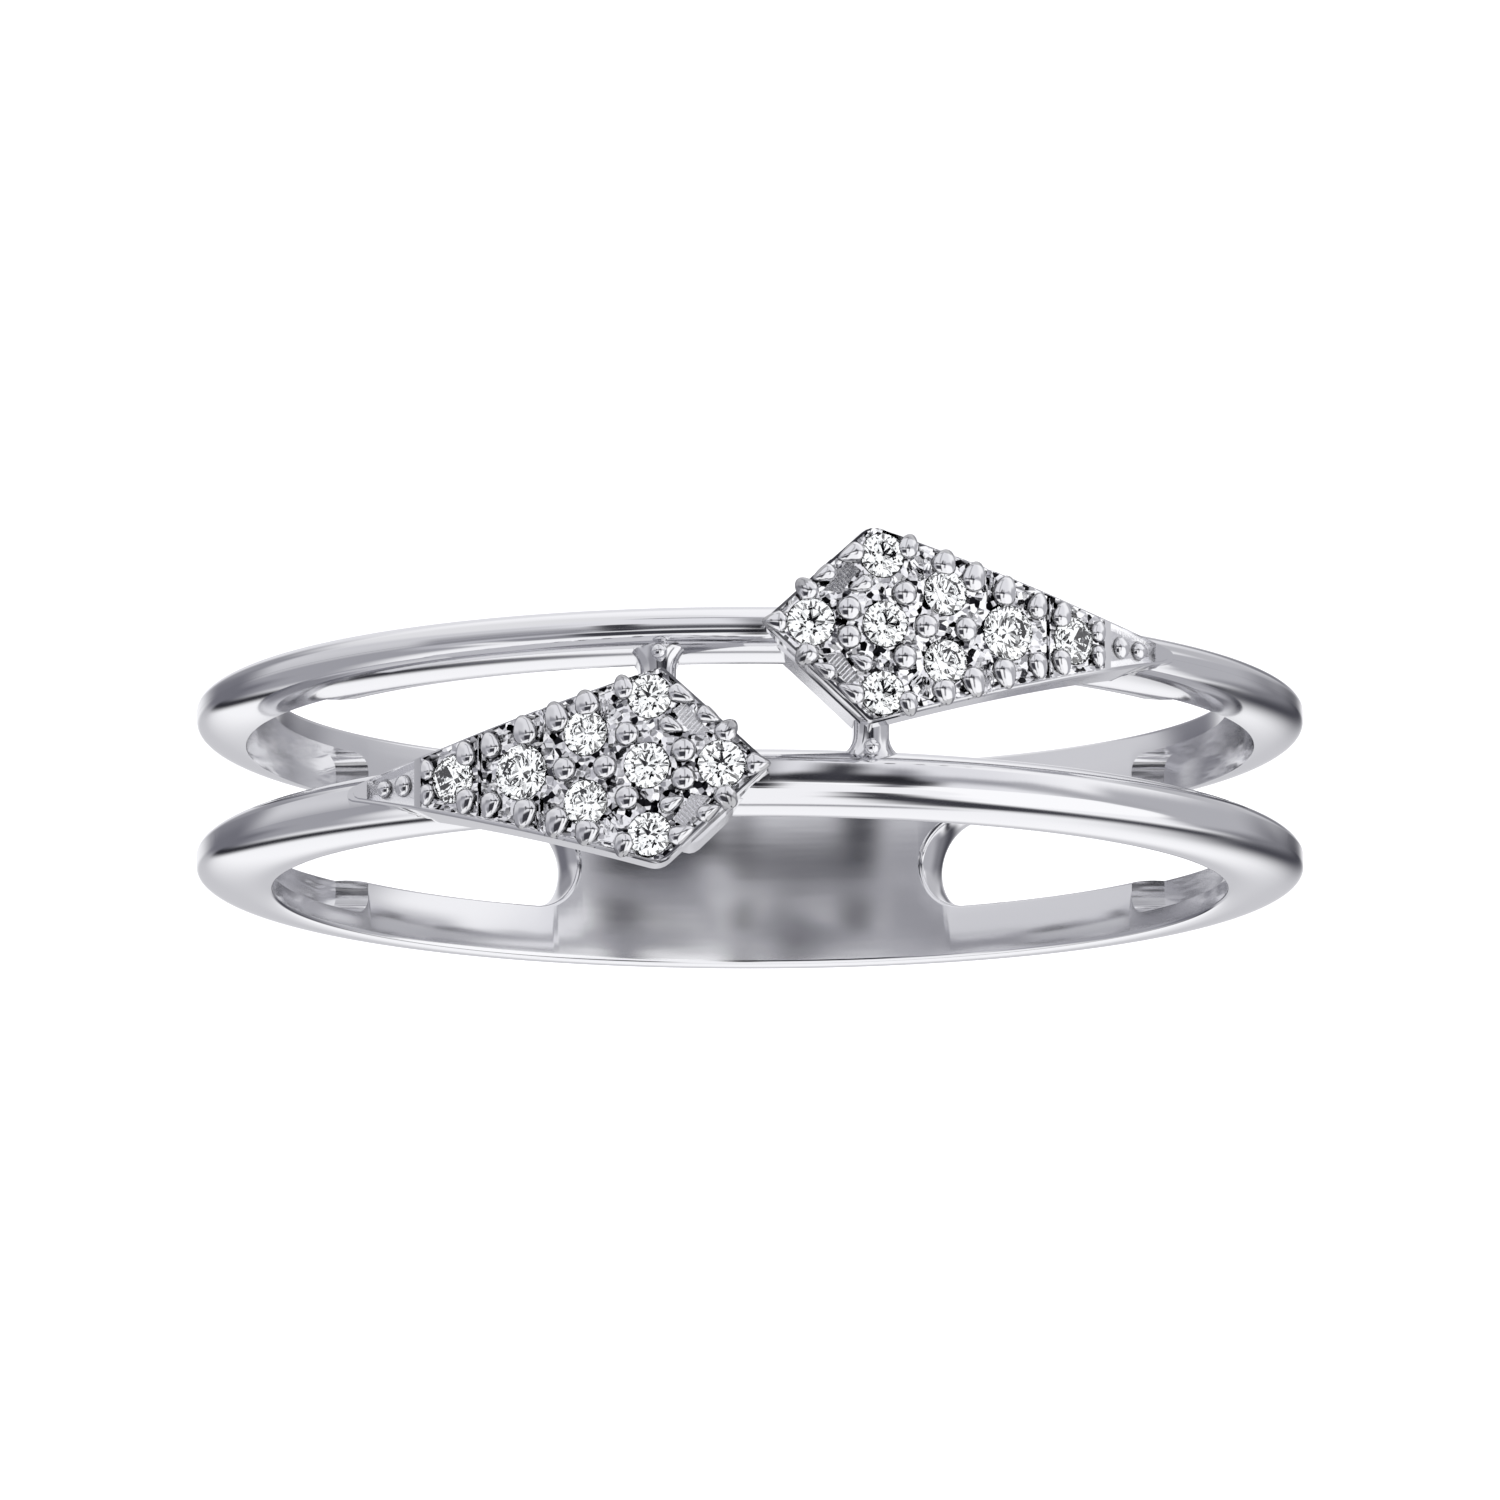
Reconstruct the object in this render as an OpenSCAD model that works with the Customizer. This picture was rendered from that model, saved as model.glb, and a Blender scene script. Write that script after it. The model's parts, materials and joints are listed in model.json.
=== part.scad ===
// Stacking ring: two slim bands that join into one shank behind the finger,
// with a pave-set kite on each band. Millimetres. +Z runs along the finger,
// the kites face -Y, and the origin is the middle of the finger hole.

/* [Finger hole] */
// Diameter of the finger hole, US size 6 1/2
finger_d = 16.9; // [15.5:0.1:18]

/* [Bands] */
// Width of the ring from one side face to the other
ring_w = 3.65; // [3.5:0.05:3.8]
// Thickness of the metal between the finger and the crown of a band
band_t = 1.35; // [1.25:0.05:1.5]
// Height of the flat side walls below the crown
band_wall = 0.6; // [0.4:0.05:0.8]
// Half width of the round crown of each band
crown_half_w = 0.41; // [0.36:0.01:0.42]

/* [Slot between the bands] */
// Width of the slot
slot_w = 1.55; // [1.5:0.01:1.7]
// Angle between the middle of the shank's back and each end of the slot
slot_end_angle = 21.6; // [15:0.2:35]
// How far the slot and the kites lean out of the ring's own plane
lean = 0.6; // [0:0.1:1.2]
// Turn of the kites about the finger, away from the middle of the front
kite_turn = -1.6; // [-5:0.1:5]

/* [Hollows inside the shoulders] */
// Depth of each hollow, from the finger hole outwards
hollow_depth = 0.48; // [0.3:0.02:0.55]
// Width of each hollow across both bands and the slot
hollow_w = 2.88; // [2.4:0.02:3]
// Angle between the middle of a shoulder and each end of its hollow
hollow_half_angle = 36; // [25:1:45]

/* [Kites] */
// Length of a kite from its blunt tip to its sharp tip
kite_l = 7.6; // [7.5:0.05:7.9]
// Width of a kite across its two side corners
kite_w = 3.5; // [3.4:0.05:3.6]
// Distance from the blunt tip to the widest place
kite_wide_at = 1.9; // [1.85:0.01:1.95]
// How far each blunt tip reaches past the middle of the front
kite_overlap = 0.1; // [0.05:0.01:0.15]
// Height of a kite's long axis above the middle of the ring
kite_z = 1.25; // [1.2:0.01:1.3]
// Distance from the finger's axis to the highest place of a kite's face
kite_top_r = 10.25; // [10.15:0.05:10.4]
// Radius of a kite's curved face
kite_face_r = 8.6; // [8.2:0.1:9]
// Angle of the highest place of a kite's face, from the middle of the front
kite_top_angle = 8; // [6:0.5:14]
// Thickness of the plate that holds the stones
plate_t = 0.75; // [0.65:0.05:0.8]
// Ledge by which the wall below the plate stands out past it
ledge = 0.05; // [0.02:0.01:0.07]
// How far the kites' walls stand back from the finger hole past the bands' sides
set_back = 0.05; // [0.03:0.01:0.1]

/* [Stones and beads] */
// Gap between a stone and the metal around it
seat_gap = 0.025; // [0.02:0.005:0.035]
// Depth of a stone's girdle below the face of the kite
girdle_drop = 0.05; // [0.02:0.01:0.08]
// Diameter of the round beads between the stones
bead_d = 0.42; // [0.36:0.01:0.44]
// Diameter of the small beads along the edges
edge_bead_d = 0.31; // [0.26:0.01:0.33]

/* [Hidden] */
finger_r = finger_d / 2;
band_r = finger_r + band_t;
crown_from = finger_r + band_wall;
crown_h = band_t - band_wall;
half_w = ring_w / 2;
half_slot = slot_w / 2;
// Distance from the middle of the ring to the middle of each band
band_middle = (half_w + half_slot) / 2;
// Extra width of the slot's round ends, so that they meet its walls cleanly
slot_end_ease = 0.015;
// How far a cutter reaches past what it cuts
past = 0.5;
// Height of everything that is cut out of the kites' curved shells
shell_h = 10;
// Steps in a quarter of a crown, and in a rounded corner of a kite
crown_steps = 6;
corner_steps = 4;
// Where on its ellipse a crown leaves the side wall, so that an edge shows
crown_edge = 25;
ring_fn = 180;
small_fn = 24;

hollow_r = finger_r + hollow_depth;
// Radius that rounds the corners of the hollows
hollow_corner_r = 0.3;

// Angle of the middle of the slot's round end, from the back of the shank
slot_round_angle = slot_end_angle + asin(half_slot / finger_r);

// The kite's corners: x along its axis from the middle of the front, s across
// it with + away from the other band, and the radius that rounds the corner
blunt_x = -kite_overlap;
wide_x = blunt_x + kite_wide_at;
sharp_x = blunt_x + kite_l;
half_kite = kite_w / 2;
kite_corners = [
    [blunt_x, 0, 0.12],
    [wide_x, half_kite, 0.35],
    [sharp_x, 0, 0.12],
    [wide_x, -half_kite, 0.12],
];

// The wall below the plate follows the short edges and stops at the band
wall_reach = 0.76;
wall_corners = [
    [blunt_x - ledge, 0, 0.12],
    [blunt_x - ledge + kite_wide_at * wall_reach, half_kite * wall_reach + ledge, 0.25],
    [wide_x + 0.45, 0.4, 0.1],
    [wide_x + 0.45, -0.4, 0.1],
    [wide_x, -half_kite - ledge, 0.12],
];

// The bridge from the kite's inner corner to the other band
bridge_x = 1.85;
bridge_half_w = 0.31;
bridge_fillet = 0.42;
bridge_neck_s = -half_kite - 0.06;
bridge_top_r = band_r - 0.18;
post_d = 0.3;

// Axis of the kite's curved face
face_offset = kite_top_r - kite_face_r;
face_x = face_offset * sin(kite_top_angle);
face_y = -face_offset * cos(kite_top_angle);

// The stones of one kite: place, x along its axis, s across it, diameter
PLACE = 0;
X = 1;
S = 2;
D = 3;
stones = [
    ["blunt",      0.78,  0,    0.83],
    ["outer",      2.03,  1.21, 0.77],
    ["centre",     2.08,  0,    0.80],
    ["inner",      2.03, -1.21, 0.77],
    ["outer_side", 3.14,  0.61, 0.79],
    ["inner_side", 3.14, -0.61, 0.79],
    ["large",      4.25,  0,    0.97],
    ["tip",        5.43,  0,    0.84],
];

// Round beads: x along the axis, s to each side of it
bead_pairs = [[1.44, 0.24], [2.44, 0.57]];
middle_beads = [2.78, 3.52];
// Small beads: x along the axis, s to each side of it
edge_bead_pairs = [
    [0.24, 0.13], [0.72, 0.6], [1.04, 0.9], [1.72, 0.74], [1.5, 1.25],
    [2.55, 1.33], [3.12, 1.14], [3.6, 0.9], [4.12, 0.67],
    [4.74, 0.51], [5.12, 0.45], [5.92, 0.26],
];
tip_beads = [6.27, 6.58];

// Graver cuts between the stones: x along the axis, s from and to, each side
graver_cuts = [[3.86, 0.42, 1.2], [4.93, 0, 0.8]];
graver_w = 0.13;
graver_depth = 0.22;

// Scraped pocket between the blunt, centre and side stones, on each side
pocket = [[0.98, 0.56], [1.3, 0.52], [1.62, 0.96], [1.42, 1.1]];
pocket_depth = 0.2;

// Proportions of a brilliant-cut stone, as shares of its diameter
table_share = 0.57;
star_share = 0.85;
crown_share = 0.15;
girdle_share = 0.03;
pavilion_share = 0.43;
lower_share = 0.24;

gold = [0.82, 0.82, 0.84];
diamond = [0.93, 0.96, 1];

KITES = ["upper", "lower"];
function stone_node(kite, stone) = str(kite, "_", stone[PLACE], "_stone");

function unit(v) = [v[0], v[1]] / norm([v[0], v[1]]);

// Outline of corners [x, y, radius], with each corner rounded by an arc
function rounded(corners) = [
    for (i = [0 : len(corners) - 1])
        let (n = len(corners),
            here = [corners[i][0], corners[i][1]],
            r = corners[i][2],
            back = unit(corners[(i + n - 1) % n] - corners[i]),
            ahead = unit(corners[(i + 1) % n] - corners[i]),
            half_angle = acos(back * ahead) / 2,
            inward = unit(back + ahead),
            centre = here + inward * r / sin(half_angle),
            outward = atan2(-inward[1], -inward[0]),
            way = sign(back[0] * ahead[1] - back[1] * ahead[0]))
        for (k = [-corner_steps : 2 : corner_steps])
            let (a = outward - way * (90 - half_angle) * k / corner_steps)
            centre + r * [cos(a), sin(a)]
];

// A band's round crown from its side wall inwards: [radius, distance inwards]
function crown(a) = [
    crown_from + crown_h * (sin(a) - sin(crown_edge)) / (1 - sin(crown_edge)),
    crown_half_w * (1 - cos(a) / cos(crown_edge))
];
crown_angles = [for (k = [0 : crown_steps])
    crown_edge + (90 - crown_edge) * k / crown_steps];

// Section of the whole ring, flat inside and at the sides, with round shoulders
module ring_section() {
    shoulder = [for (a = crown_angles) crown(a)];
    polygon(concat(
        [[finger_r - past, -half_w]],
        [for (p = shoulder) [p[0], p[1] - half_w]],
        [for (i = [crown_steps : -1 : 0]) [shoulder[i][0], half_w - shoulder[i][1]]],
        [[finger_r - past, half_w]]));
}

// Half section of the slot: [radius, distance from the slot's middle]. It runs
// up the flat wall and then over the crown, and leaves the crown at a slope
function slot_edge() =
    let (points = [for (i = [0 : crown_steps - 1]) crown(crown_angles[i])],
        last = crown(90),
        over = last + (last - points[crown_steps - 1]))
    concat([[finger_r - past, half_slot]],
        [for (p = points) [p[0], half_slot + p[1]]],
        [[over[0], half_slot + over[1]], [band_r + past, half_slot + over[1]]]);

module slot() {
    edge = slot_edge();
    rotate([0, 0, 90 + slot_round_angle])
        rotate_extrude(angle = 360 - 2 * slot_round_angle, $fn = ring_fn)
            polygon(concat(edge,
                [for (i = [len(edge) - 1 : -1 : 0]) [edge[i][0], -edge[i][1]]]));
    for (side = [-1, 1])
        rotate([0, 0, 90 + side * slot_round_angle])
            rotate([0, 90, 0])
                rotate_extrude($fn = 4 * small_fn)
                    polygon(concat([[0, finger_r - past]],
                        [for (p = edge) [p[1] + slot_end_ease, p[0]]],
                        [[0, band_r + past]]));
}

// The hollows behind both shoulders, cut sideways from the middle of the finger
// hole. They open into the slot and leave a lip along each side of the ring
module hollows() {
    end_y = finger_r * sin(hollow_half_angle);
    half_hollow = hollow_w / 2;
    intersection() {
        cylinder(r = hollow_r, h = shell_h, center = true, $fn = ring_fn);
        rotate([90, 0, 90])
            linear_extrude(height = 2 * band_r, center = true)
                polygon(rounded([
                    [-end_y, -half_hollow, hollow_corner_r],
                    [end_y, -half_hollow, hollow_corner_r],
                    [end_y, half_hollow, hollow_corner_r],
                    [-end_y, half_hollow, hollow_corner_r],
                ]));
    }
}

// Everything on the kites leans and turns with them
module kite_frame(kite)
    rotate([lean, 0, 0])
        rotate([0, kite == "upper" ? 0 : 180, kite_turn])
            children();

// Carries an outline of [x, s] straight forwards through the front of the ring
module forwards()
    translate([0, 0, kite_z])
        rotate([90, 0, 0])
            linear_extrude(height = kite_top_r + past)
                children();

// Puts its children on the kite's face at [x, s], with +Z standing off the face
module on_face(x, s)
    translate([face_x, face_y, kite_z + s])
        rotate([0, 0, asin((x - face_x) / kite_face_r)])
            translate([0, -kite_face_r, 0])
                rotate([90, 0, 0])
                    children();

// A solid cylinder about the axis of the kite's face, to a depth below the face
module below_face(depth)
    translate([face_x, face_y, 0])
        cylinder(r = kite_face_r - depth, h = shell_h, center = true, $fn = ring_fn);

module plate()
    difference() {
        intersection() {
            forwards() polygon(rounded(kite_corners));
            below_face(0);
        }
        below_face(plate_t);
    }

module wall()
    intersection() {
        forwards() polygon(rounded(wall_corners));
        below_face(plate_t - ledge);
        cylinder(r = kite_top_r, h = shell_h, center = true, $fn = ring_fn);
    }

module bridge() {
    neck = bridge_neck_s;
    foot = neck - bridge_fillet;
    flare = [for (k = [0 : corner_steps])
        let (a = 90 * k / corner_steps)
        [bridge_half_w + bridge_fillet * (1 - cos(a)), neck - bridge_fillet * sin(a)]];
    intersection() {
        forwards()
            translate([bridge_x, 0])
                polygon(concat(
                    [[bridge_half_w, neck + past]],
                    flare,
                    [for (i = [corner_steps : -1 : 0]) [-flare[i][0], flare[i][1]]],
                    [[-bridge_half_w, neck + past]]));
        cylinder(r = bridge_top_r, h = shell_h, center = true, $fn = ring_fn);
    }
    translate([bridge_x, -sqrt(pow(band_r - post_d / 4, 2) - pow(bridge_x, 2)), kite_z + foot + post_d / 2])
        sphere(d = post_d, $fn = small_fn);
}

// Round seat of a stone, open at the face
module seat(d)
    translate([0, 0, -girdle_drop - d * girdle_share / 2 - seat_gap]) {
        cylinder(d = d + 2 * seat_gap, h = past, $fn = small_fn);
        mirror([0, 0, 1])
            cylinder(d1 = d + 2 * seat_gap, d2 = d / 8, h = d * (pavilion_share - 0.01), $fn = small_fn);
    }

// Room that a bead leaves round a stone's girdle and crown
module stone_room(d)
    translate([0, 0, -girdle_drop]) {
        translate([0, 0, -d * girdle_share / 2 - seat_gap])
            cylinder(d = d + 2 * seat_gap, h = d * girdle_share + seat_gap, $fn = small_fn);
        translate([0, 0, d * girdle_share / 2])
            cylinder(d1 = d + 2 * seat_gap, d2 = d * table_share + 2 * seat_gap,
                h = d * crown_share + seat_gap, $fn = small_fn);
    }

module graver_cut(x, s_from, s_to)
    for (side = [-1, 1])
        on_face(x, 0)
            rotate([side * 90, 0, 0])
                translate([0, 0, s_from])
                    linear_extrude(height = s_to - s_from)
                        polygon([[0, side * graver_depth], [graver_w / 2, 0], [graver_w / 2, -side * past],
                            [-graver_w / 2, -side * past], [-graver_w / 2, 0]]);

module pockets()
    difference() {
        for (side = [-1, 1])
            forwards() polygon([for (p = pocket) [p[0], side * p[1]]]);
        below_face(pocket_depth);
    }

module beads() {
    for (p = bead_pairs, side = [-1, 1])
        on_face(p[0], side * p[1]) sphere(d = bead_d, $fn = small_fn);
    for (x = middle_beads)
        on_face(x, 0) sphere(d = bead_d, $fn = small_fn);
    for (p = edge_bead_pairs, side = [-1, 1])
        on_face(p[0], side * p[1]) sphere(d = edge_bead_d, $fn = small_fn);
    for (x = tip_beads)
        on_face(x, 0) sphere(d = edge_bead_d, $fn = small_fn);
}

// Everything that is cut into a kite before its beads stand on it
module kite_cuts() {
    for (place = stones)
        on_face(place[X], place[S]) seat(place[D]);
    for (cut = graver_cuts)
        graver_cut(cut[0], cut[1], cut[2]);
    pockets();
}

// Both kites before their faces are cut. Past the bands' sides they stand back
// from the finger hole
module kites()
    difference() {
        for (kite = KITES)
            kite_frame(kite) {
                wall();
                plate();
                bridge();
            }
        for (side = [-1, 1])
            translate([0, 0, side * (band_middle + shell_h / 2)])
                cylinder(r = finger_r + set_back, h = shell_h, center = true, $fn = ring_fn);
    }

module ring_body()
    color(gold)
        difference() {
            union() {
                difference() {
                    union() {
                        difference() {
                            rotate_extrude($fn = ring_fn) ring_section();
                            rotate([lean, 0, 0]) slot();
                            hollows();
                        }
                        kites();
                    }
                    for (kite = KITES)
                        kite_frame(kite) kite_cuts();
                }
                for (kite = KITES)
                    kite_frame(kite) beads();
            }
            for (kite = KITES, place = stones)
                kite_frame(kite)
                    on_face(place[X], place[S]) stone_room(place[D]);
            cylinder(r = finger_r, h = shell_h, center = true, $fn = ring_fn);
        }

// Brilliant-cut stone: table, eight stars, eight kites, upper girdle facets,
// girdle, lower girdle facets and eight pavilion mains, on the girdle's middle
module brilliant(d) {
    r = d / 2;
    table_r = r * table_share;
    girdle_z = d * girdle_share / 2;
    table_z = girdle_z + d * crown_share;
    culet_z = -girdle_z - d * pavilion_share;
    // Star and lower tips lie in the planes of the kites and of the mains
    star_r = r * star_share;
    star_z = table_z + (girdle_z - table_z) * (star_r * cos(22.5) - table_r) / (r - table_r);
    lower_r = r * lower_share;
    lower_z = -girdle_z + (culet_z + girdle_z) * (r - lower_r * cos(22.5)) / r;
    TABLE = 0;
    STAR = 8;
    TOP = 16;
    BOTTOM = 32;
    LOWER = 48;
    CULET = 56;
    points = concat(
        [for (k = [0 : 7]) [table_r * cos(45 * k), table_r * sin(45 * k), table_z]],
        [for (k = [0 : 7]) [star_r * cos(45 * k + 22.5), star_r * sin(45 * k + 22.5), star_z]],
        [for (j = [0 : 15]) [r * cos(22.5 * j), r * sin(22.5 * j), girdle_z]],
        [for (j = [0 : 15]) [r * cos(22.5 * j), r * sin(22.5 * j), -girdle_z]],
        [for (k = [0 : 7]) [lower_r * cos(45 * k + 22.5), lower_r * sin(45 * k + 22.5), lower_z]],
        [[0, 0, culet_z]]);
    faces = concat(
        [[for (k = [7 : -1 : 0]) TABLE + k]],
        [for (k = [0 : 7]) [TABLE + k, TABLE + (k + 1) % 8, STAR + k]],
        [for (k = [0 : 7]) [TABLE + k, STAR + k, TOP + 2 * k, STAR + (k + 7) % 8]],
        [for (k = [0 : 7]) [STAR + k, TOP + 2 * k + 1, TOP + 2 * k]],
        [for (k = [0 : 7]) [STAR + k, TOP + (2 * k + 2) % 16, TOP + 2 * k + 1]],
        [for (j = [0 : 15]) [TOP + j, TOP + (j + 1) % 16, BOTTOM + (j + 1) % 16, BOTTOM + j]],
        [for (k = [0 : 7]) [BOTTOM + 2 * k, BOTTOM + 2 * k + 1, LOWER + k]],
        [for (k = [0 : 7]) [BOTTOM + 2 * k + 1, BOTTOM + (2 * k + 2) % 16, LOWER + k]],
        [for (k = [0 : 7]) [BOTTOM + 2 * k, LOWER + k, CULET, LOWER + (k + 7) % 8]]);
    polyhedron(points, faces);
}

module stone(kite, place)
    color(diamond)
        kite_frame(kite)
            on_face(place[X], place[S])
                translate([0, 0, -girdle_drop])
                    brilliant(place[D]);

ring_body();
for (kite = KITES, place = stones)
    stone(kite, place);
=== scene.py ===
"""Looks of a two-band stacking ring with a pave-set kite on each band.

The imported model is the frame, in metres: +Z runs along the finger and the kites face -Y. The cast metal is
built again from its named sizes, with finer curves, cut seats, rims and raised beads, and stands for the
frame's own metal. The sixteen stones stay as the frame cuts them and get their finish here.
"""
import json
import math
import random

import bmesh
import bpy
from bpy.props import FloatProperty, FloatVectorProperty, PointerProperty
from mathutils import Matrix, Vector


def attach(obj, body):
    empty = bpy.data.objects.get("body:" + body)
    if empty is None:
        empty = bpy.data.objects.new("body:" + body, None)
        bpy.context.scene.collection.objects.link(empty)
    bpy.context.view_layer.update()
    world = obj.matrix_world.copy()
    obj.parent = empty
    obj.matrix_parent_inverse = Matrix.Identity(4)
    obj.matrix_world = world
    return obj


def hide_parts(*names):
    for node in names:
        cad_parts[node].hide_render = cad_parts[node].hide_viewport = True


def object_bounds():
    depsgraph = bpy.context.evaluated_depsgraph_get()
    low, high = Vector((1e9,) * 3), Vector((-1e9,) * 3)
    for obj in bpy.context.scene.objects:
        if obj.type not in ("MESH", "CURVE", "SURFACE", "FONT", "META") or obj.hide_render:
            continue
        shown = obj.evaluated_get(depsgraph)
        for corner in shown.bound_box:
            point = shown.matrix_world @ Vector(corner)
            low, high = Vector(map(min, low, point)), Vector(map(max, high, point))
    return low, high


bl_info = {
    "name": "Kite Stacking Ring",
    "version": (1, 0, 0),
    "blender": (4, 5, 0),
    "location": "3D View > Sidebar > Ring",
    "description": "Builds the metal, the finish of the stones and the studio of a two-band stacking ring",
    "category": "Object",
}

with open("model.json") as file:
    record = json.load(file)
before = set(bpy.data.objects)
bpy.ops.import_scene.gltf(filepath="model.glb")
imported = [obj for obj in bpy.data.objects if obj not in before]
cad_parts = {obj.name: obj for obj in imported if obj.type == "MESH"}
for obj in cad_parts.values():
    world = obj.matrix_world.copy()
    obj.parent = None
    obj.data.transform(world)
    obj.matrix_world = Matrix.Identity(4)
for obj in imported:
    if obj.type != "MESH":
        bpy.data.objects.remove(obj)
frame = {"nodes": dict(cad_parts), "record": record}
CAD_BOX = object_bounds()
MM = 0.001
FINGER_HOLE = frame["record"]["mounts"][0]

# Steps that round the metal: full turn of the ring and of a kite's face, a band's crown, a small edge, a
# band's side wall, a small turning and a bead
RING_STEPS = 540
FACE_STEPS = 720
CROWN_STEPS = 16
EDGE_STEPS = 4
WALL_STEPS = 6
SMALL_STEPS = 32
BEAD_STEPS = 24
# Angle on its ellipse at which a crown leaves the side wall
CROWN_EDGE = math.radians(25)
# Angles between faces past which an edge shows, on the polished metal and on the graver's cuts
CREASE = math.radians(32)
CUT_CREASE = math.radians(6)
# How far the tiny mirrors of a bright-cut ground lean, and the share of them painted black, a painted
# reflection of the dark room
FACET_TILT = 1.25
PAINTED_BLACK_SHARE = 0.13
# How far the graver's facets stray from even rows, as a share of their width
FACET_WANDER = 0.3
# Seeds of the facets on each kite's field
FIELD_SEEDS = {"upper": 7, "lower": 8}
# Angle from the kite's axis at which the beads beside the blunt tip point
BLUNT_WAY = math.radians(-155)
# Spacing of the graver's fine lines, as a share of their width
LINE_SPACING = 1.5
# How far a cutter reaches past what it cuts
PAST = 0.5 * MM
# Step between two round faces that would otherwise lie on each other
CLEAR = 0.004 * MM
# Radii of the kites' corners: the tips and the inner one, and the outer one
CORNER = 0.12 * MM
OUTER_CORNER = 0.35 * MM
# The wall below a kite: share of its blunt outer side that it follows and the corner there, then how far it
# runs past the widest place, with the half height and the corners of that end
WALL_REACH = 0.76
WALL_CORNER = 0.25 * MM
WALL_STOP = 0.45 * MM
WALL_END = 0.4 * MM
WALL_END_CORNER = 0.1 * MM
# How far beyond the kite's inner corner its bridge is narrowest
NECK_PAST = 0.06 * MM
# Least half width of a cut field, as a share of its bevel, and of its floor, as a share of its own
FIELD_LEAST = 0.3
# Step by which a field's start is sought, as a share of a facet's width
START_STEP = 0.1
# Radius of a seat's point, and how much shallower than the stone it ends, as shares of the stone's diameter
SEAT_POINT = 1 / 16
SEAT_SHORT = 0.01

# The stones of one kite: place, distance along its axis, distance across it and diameter, in millimetres
STONES = [
    ("blunt", 0.78, 0.0, 0.83),
    ("outer", 2.03, 1.21, 0.77),
    ("centre", 2.08, 0.0, 0.80),
    ("inner", 2.03, -1.21, 0.77),
    ("outer_side", 3.14, 0.61, 0.79),
    ("inner_side", 3.14, -0.61, 0.79),
    ("large", 4.25, 0.0, 0.97),
    ("tip", 5.43, 0.0, 0.84),
]
# Kinds of beads on one kite: how far a bead is drawn out at one end, how much that end narrows and where it
# points (to the sharp tip, the nearest edge or the blunt tip), then for each bead its distance along the
# axis and to each side of it, its half length and its half width, in millimetres
BEADS = [
    ("round_beads", 0, 0, "sharp", [
        (1.44, 0.25, 0.22, 0.22), (2.42, 0.56, 0.22, 0.22), (2.80, 0.0, 0.22, 0.22),
        (3.50, 0.0, 0.22, 0.22), (6.27, 0.0, 0.18, 0.20), (6.59, 0.0, 0.17, 0.16)]),
    ("barrel_beads", 0.7, 0.12, "edge", [
        (0.73, 0.54, 0.17, 0.20), (2.46, 1.33, 0.17, 0.19), (3.10, 1.08, 0.18, 0.23),
        (3.62, 0.86, 0.21, 0.23), (4.17, 0.66, 0.21, 0.23), (4.76, 0.47, 0.18, 0.20),
        (5.19, 0.36, 0.18, 0.20), (5.84, 0.17, 0.15, 0.16)]),
    ("almond_beads", 0.9, 0.45, "blunt", [
        (0.22, 0.0, 0.16, 0.20), (1.07, 0.87, 0.16, 0.16), (1.55, 1.25, 0.18, 0.18),
        (1.71, 0.71, 0.16, 0.16)]),
]
# Cuts of the graver between the stones: distance along the axis, and from and to across it
GRAVER_CUTS = [(3.9, 0.5, 1.15), (4.97, 0.0, 0.72)]
# Corners of the scraped pocket between the blunt, centre and side stones
POCKET = [(0.98, 0.56), (1.3, 0.52), (1.62, 0.96), (1.42, 1.1)]
# Rows of fine lines that the graver leaves: distance along the axis and across it of a row's middle, length,
# number and depth of its lines, and whether they run out of the short edges or across the kite
LINE_ROWS = [
    (1.32, 0.80, 0.40, 8, 0.11, "short"),
    (3.90, 0.84, 0.50, 4, 0.06, "across"),
    (4.97, 0.48, 0.42, 4, 0.06, "across"),
    (2.84, 1.05, 0.30, 4, 0.06, "across"),
    (2.62, 0.95, 0.30, 3, 0.06, "short"),
]

# Finishes of the white gold: tone, roughness, size and amount of its smears, size and height of its waves,
# and by what both are squeezed along each axis, with sizes in millimetres
FINISHES = {
    # Polished outside: long mirror reflections, hardly clouded
    "polished": ("gold", "polish", 1.6, 0.03, 2.5, 0.001, (1, 1, 1)),
    # Buffed finger hole: reflections drawn out into soft streaks round the finger
    "buffed": ("gold", "buff", 1.2, 0.05, 0.9, 0.002, (0.22, 0.22, 2.2)),
    # Cut by the graver: tiny mirrors that flash, some painted black as a painted reflection, with painted
    # shade deep between stones
    "graver_cut": ("bright", "cut", 0.2, 0.1, 0.05, 0.001, (1, 1, 1)),
    # Burnished beads: small bright domes with a painted shade round their foot
    "burnished_bead": ("gold", "polish", 0.3, 0.05, 0.3, 0.0005, (1, 1, 1)),
    # Tumbled hollows: uneven reflections with a soft grain
    "tumbled": ("gold", "tumble", 0.5, 0.1, 0.6, 0.022, (0.35, 0.35, 1.8)),
    # Scraped pockets: a pale satin
    "scraped": ("bright", "scrape", 0.1, 0.15, 0.04, 0.004, (1, 1, 1)),
}
# Depth below a kite's face at which the painted shade starts and is full, in millimetres, where a finish has
# it
PAINTED_SHADE_DEPTHS = {"graver_cut": (0.09, 0.15), "burnished_bead": (-0.035, 0.045)}
# Width of the tiny mirrors of a bright-cut ground, drawn a little coarser than real ones so that they show
MIRROR_WIDTH = 0.11 * MM
# Fine detail of the smears and the waves, and the span of the smears' noise that runs from none to all
SMEAR_DETAIL = 4.0
SMEAR_ROUGHNESS = 0.6
SMEAR_SPAN = (0.3, 0.7)
WAVE_DETAIL = 2.0
DIAMOND_IOR = 2.42

# Floor that the ring lies on, and its paper
FLOOR_RADIUS = 1.2
FLOOR_THICKNESS = 0.002
FLOOR_STEPS = 96
PAPER = "#e7e7e8"
WHITE = "#ffffff"
# The camera's sensor in millimetres, and the nearest and farthest that it sees in metres
SENSOR_WIDTH = 36
SIGHT = (0.01, 10)
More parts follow.
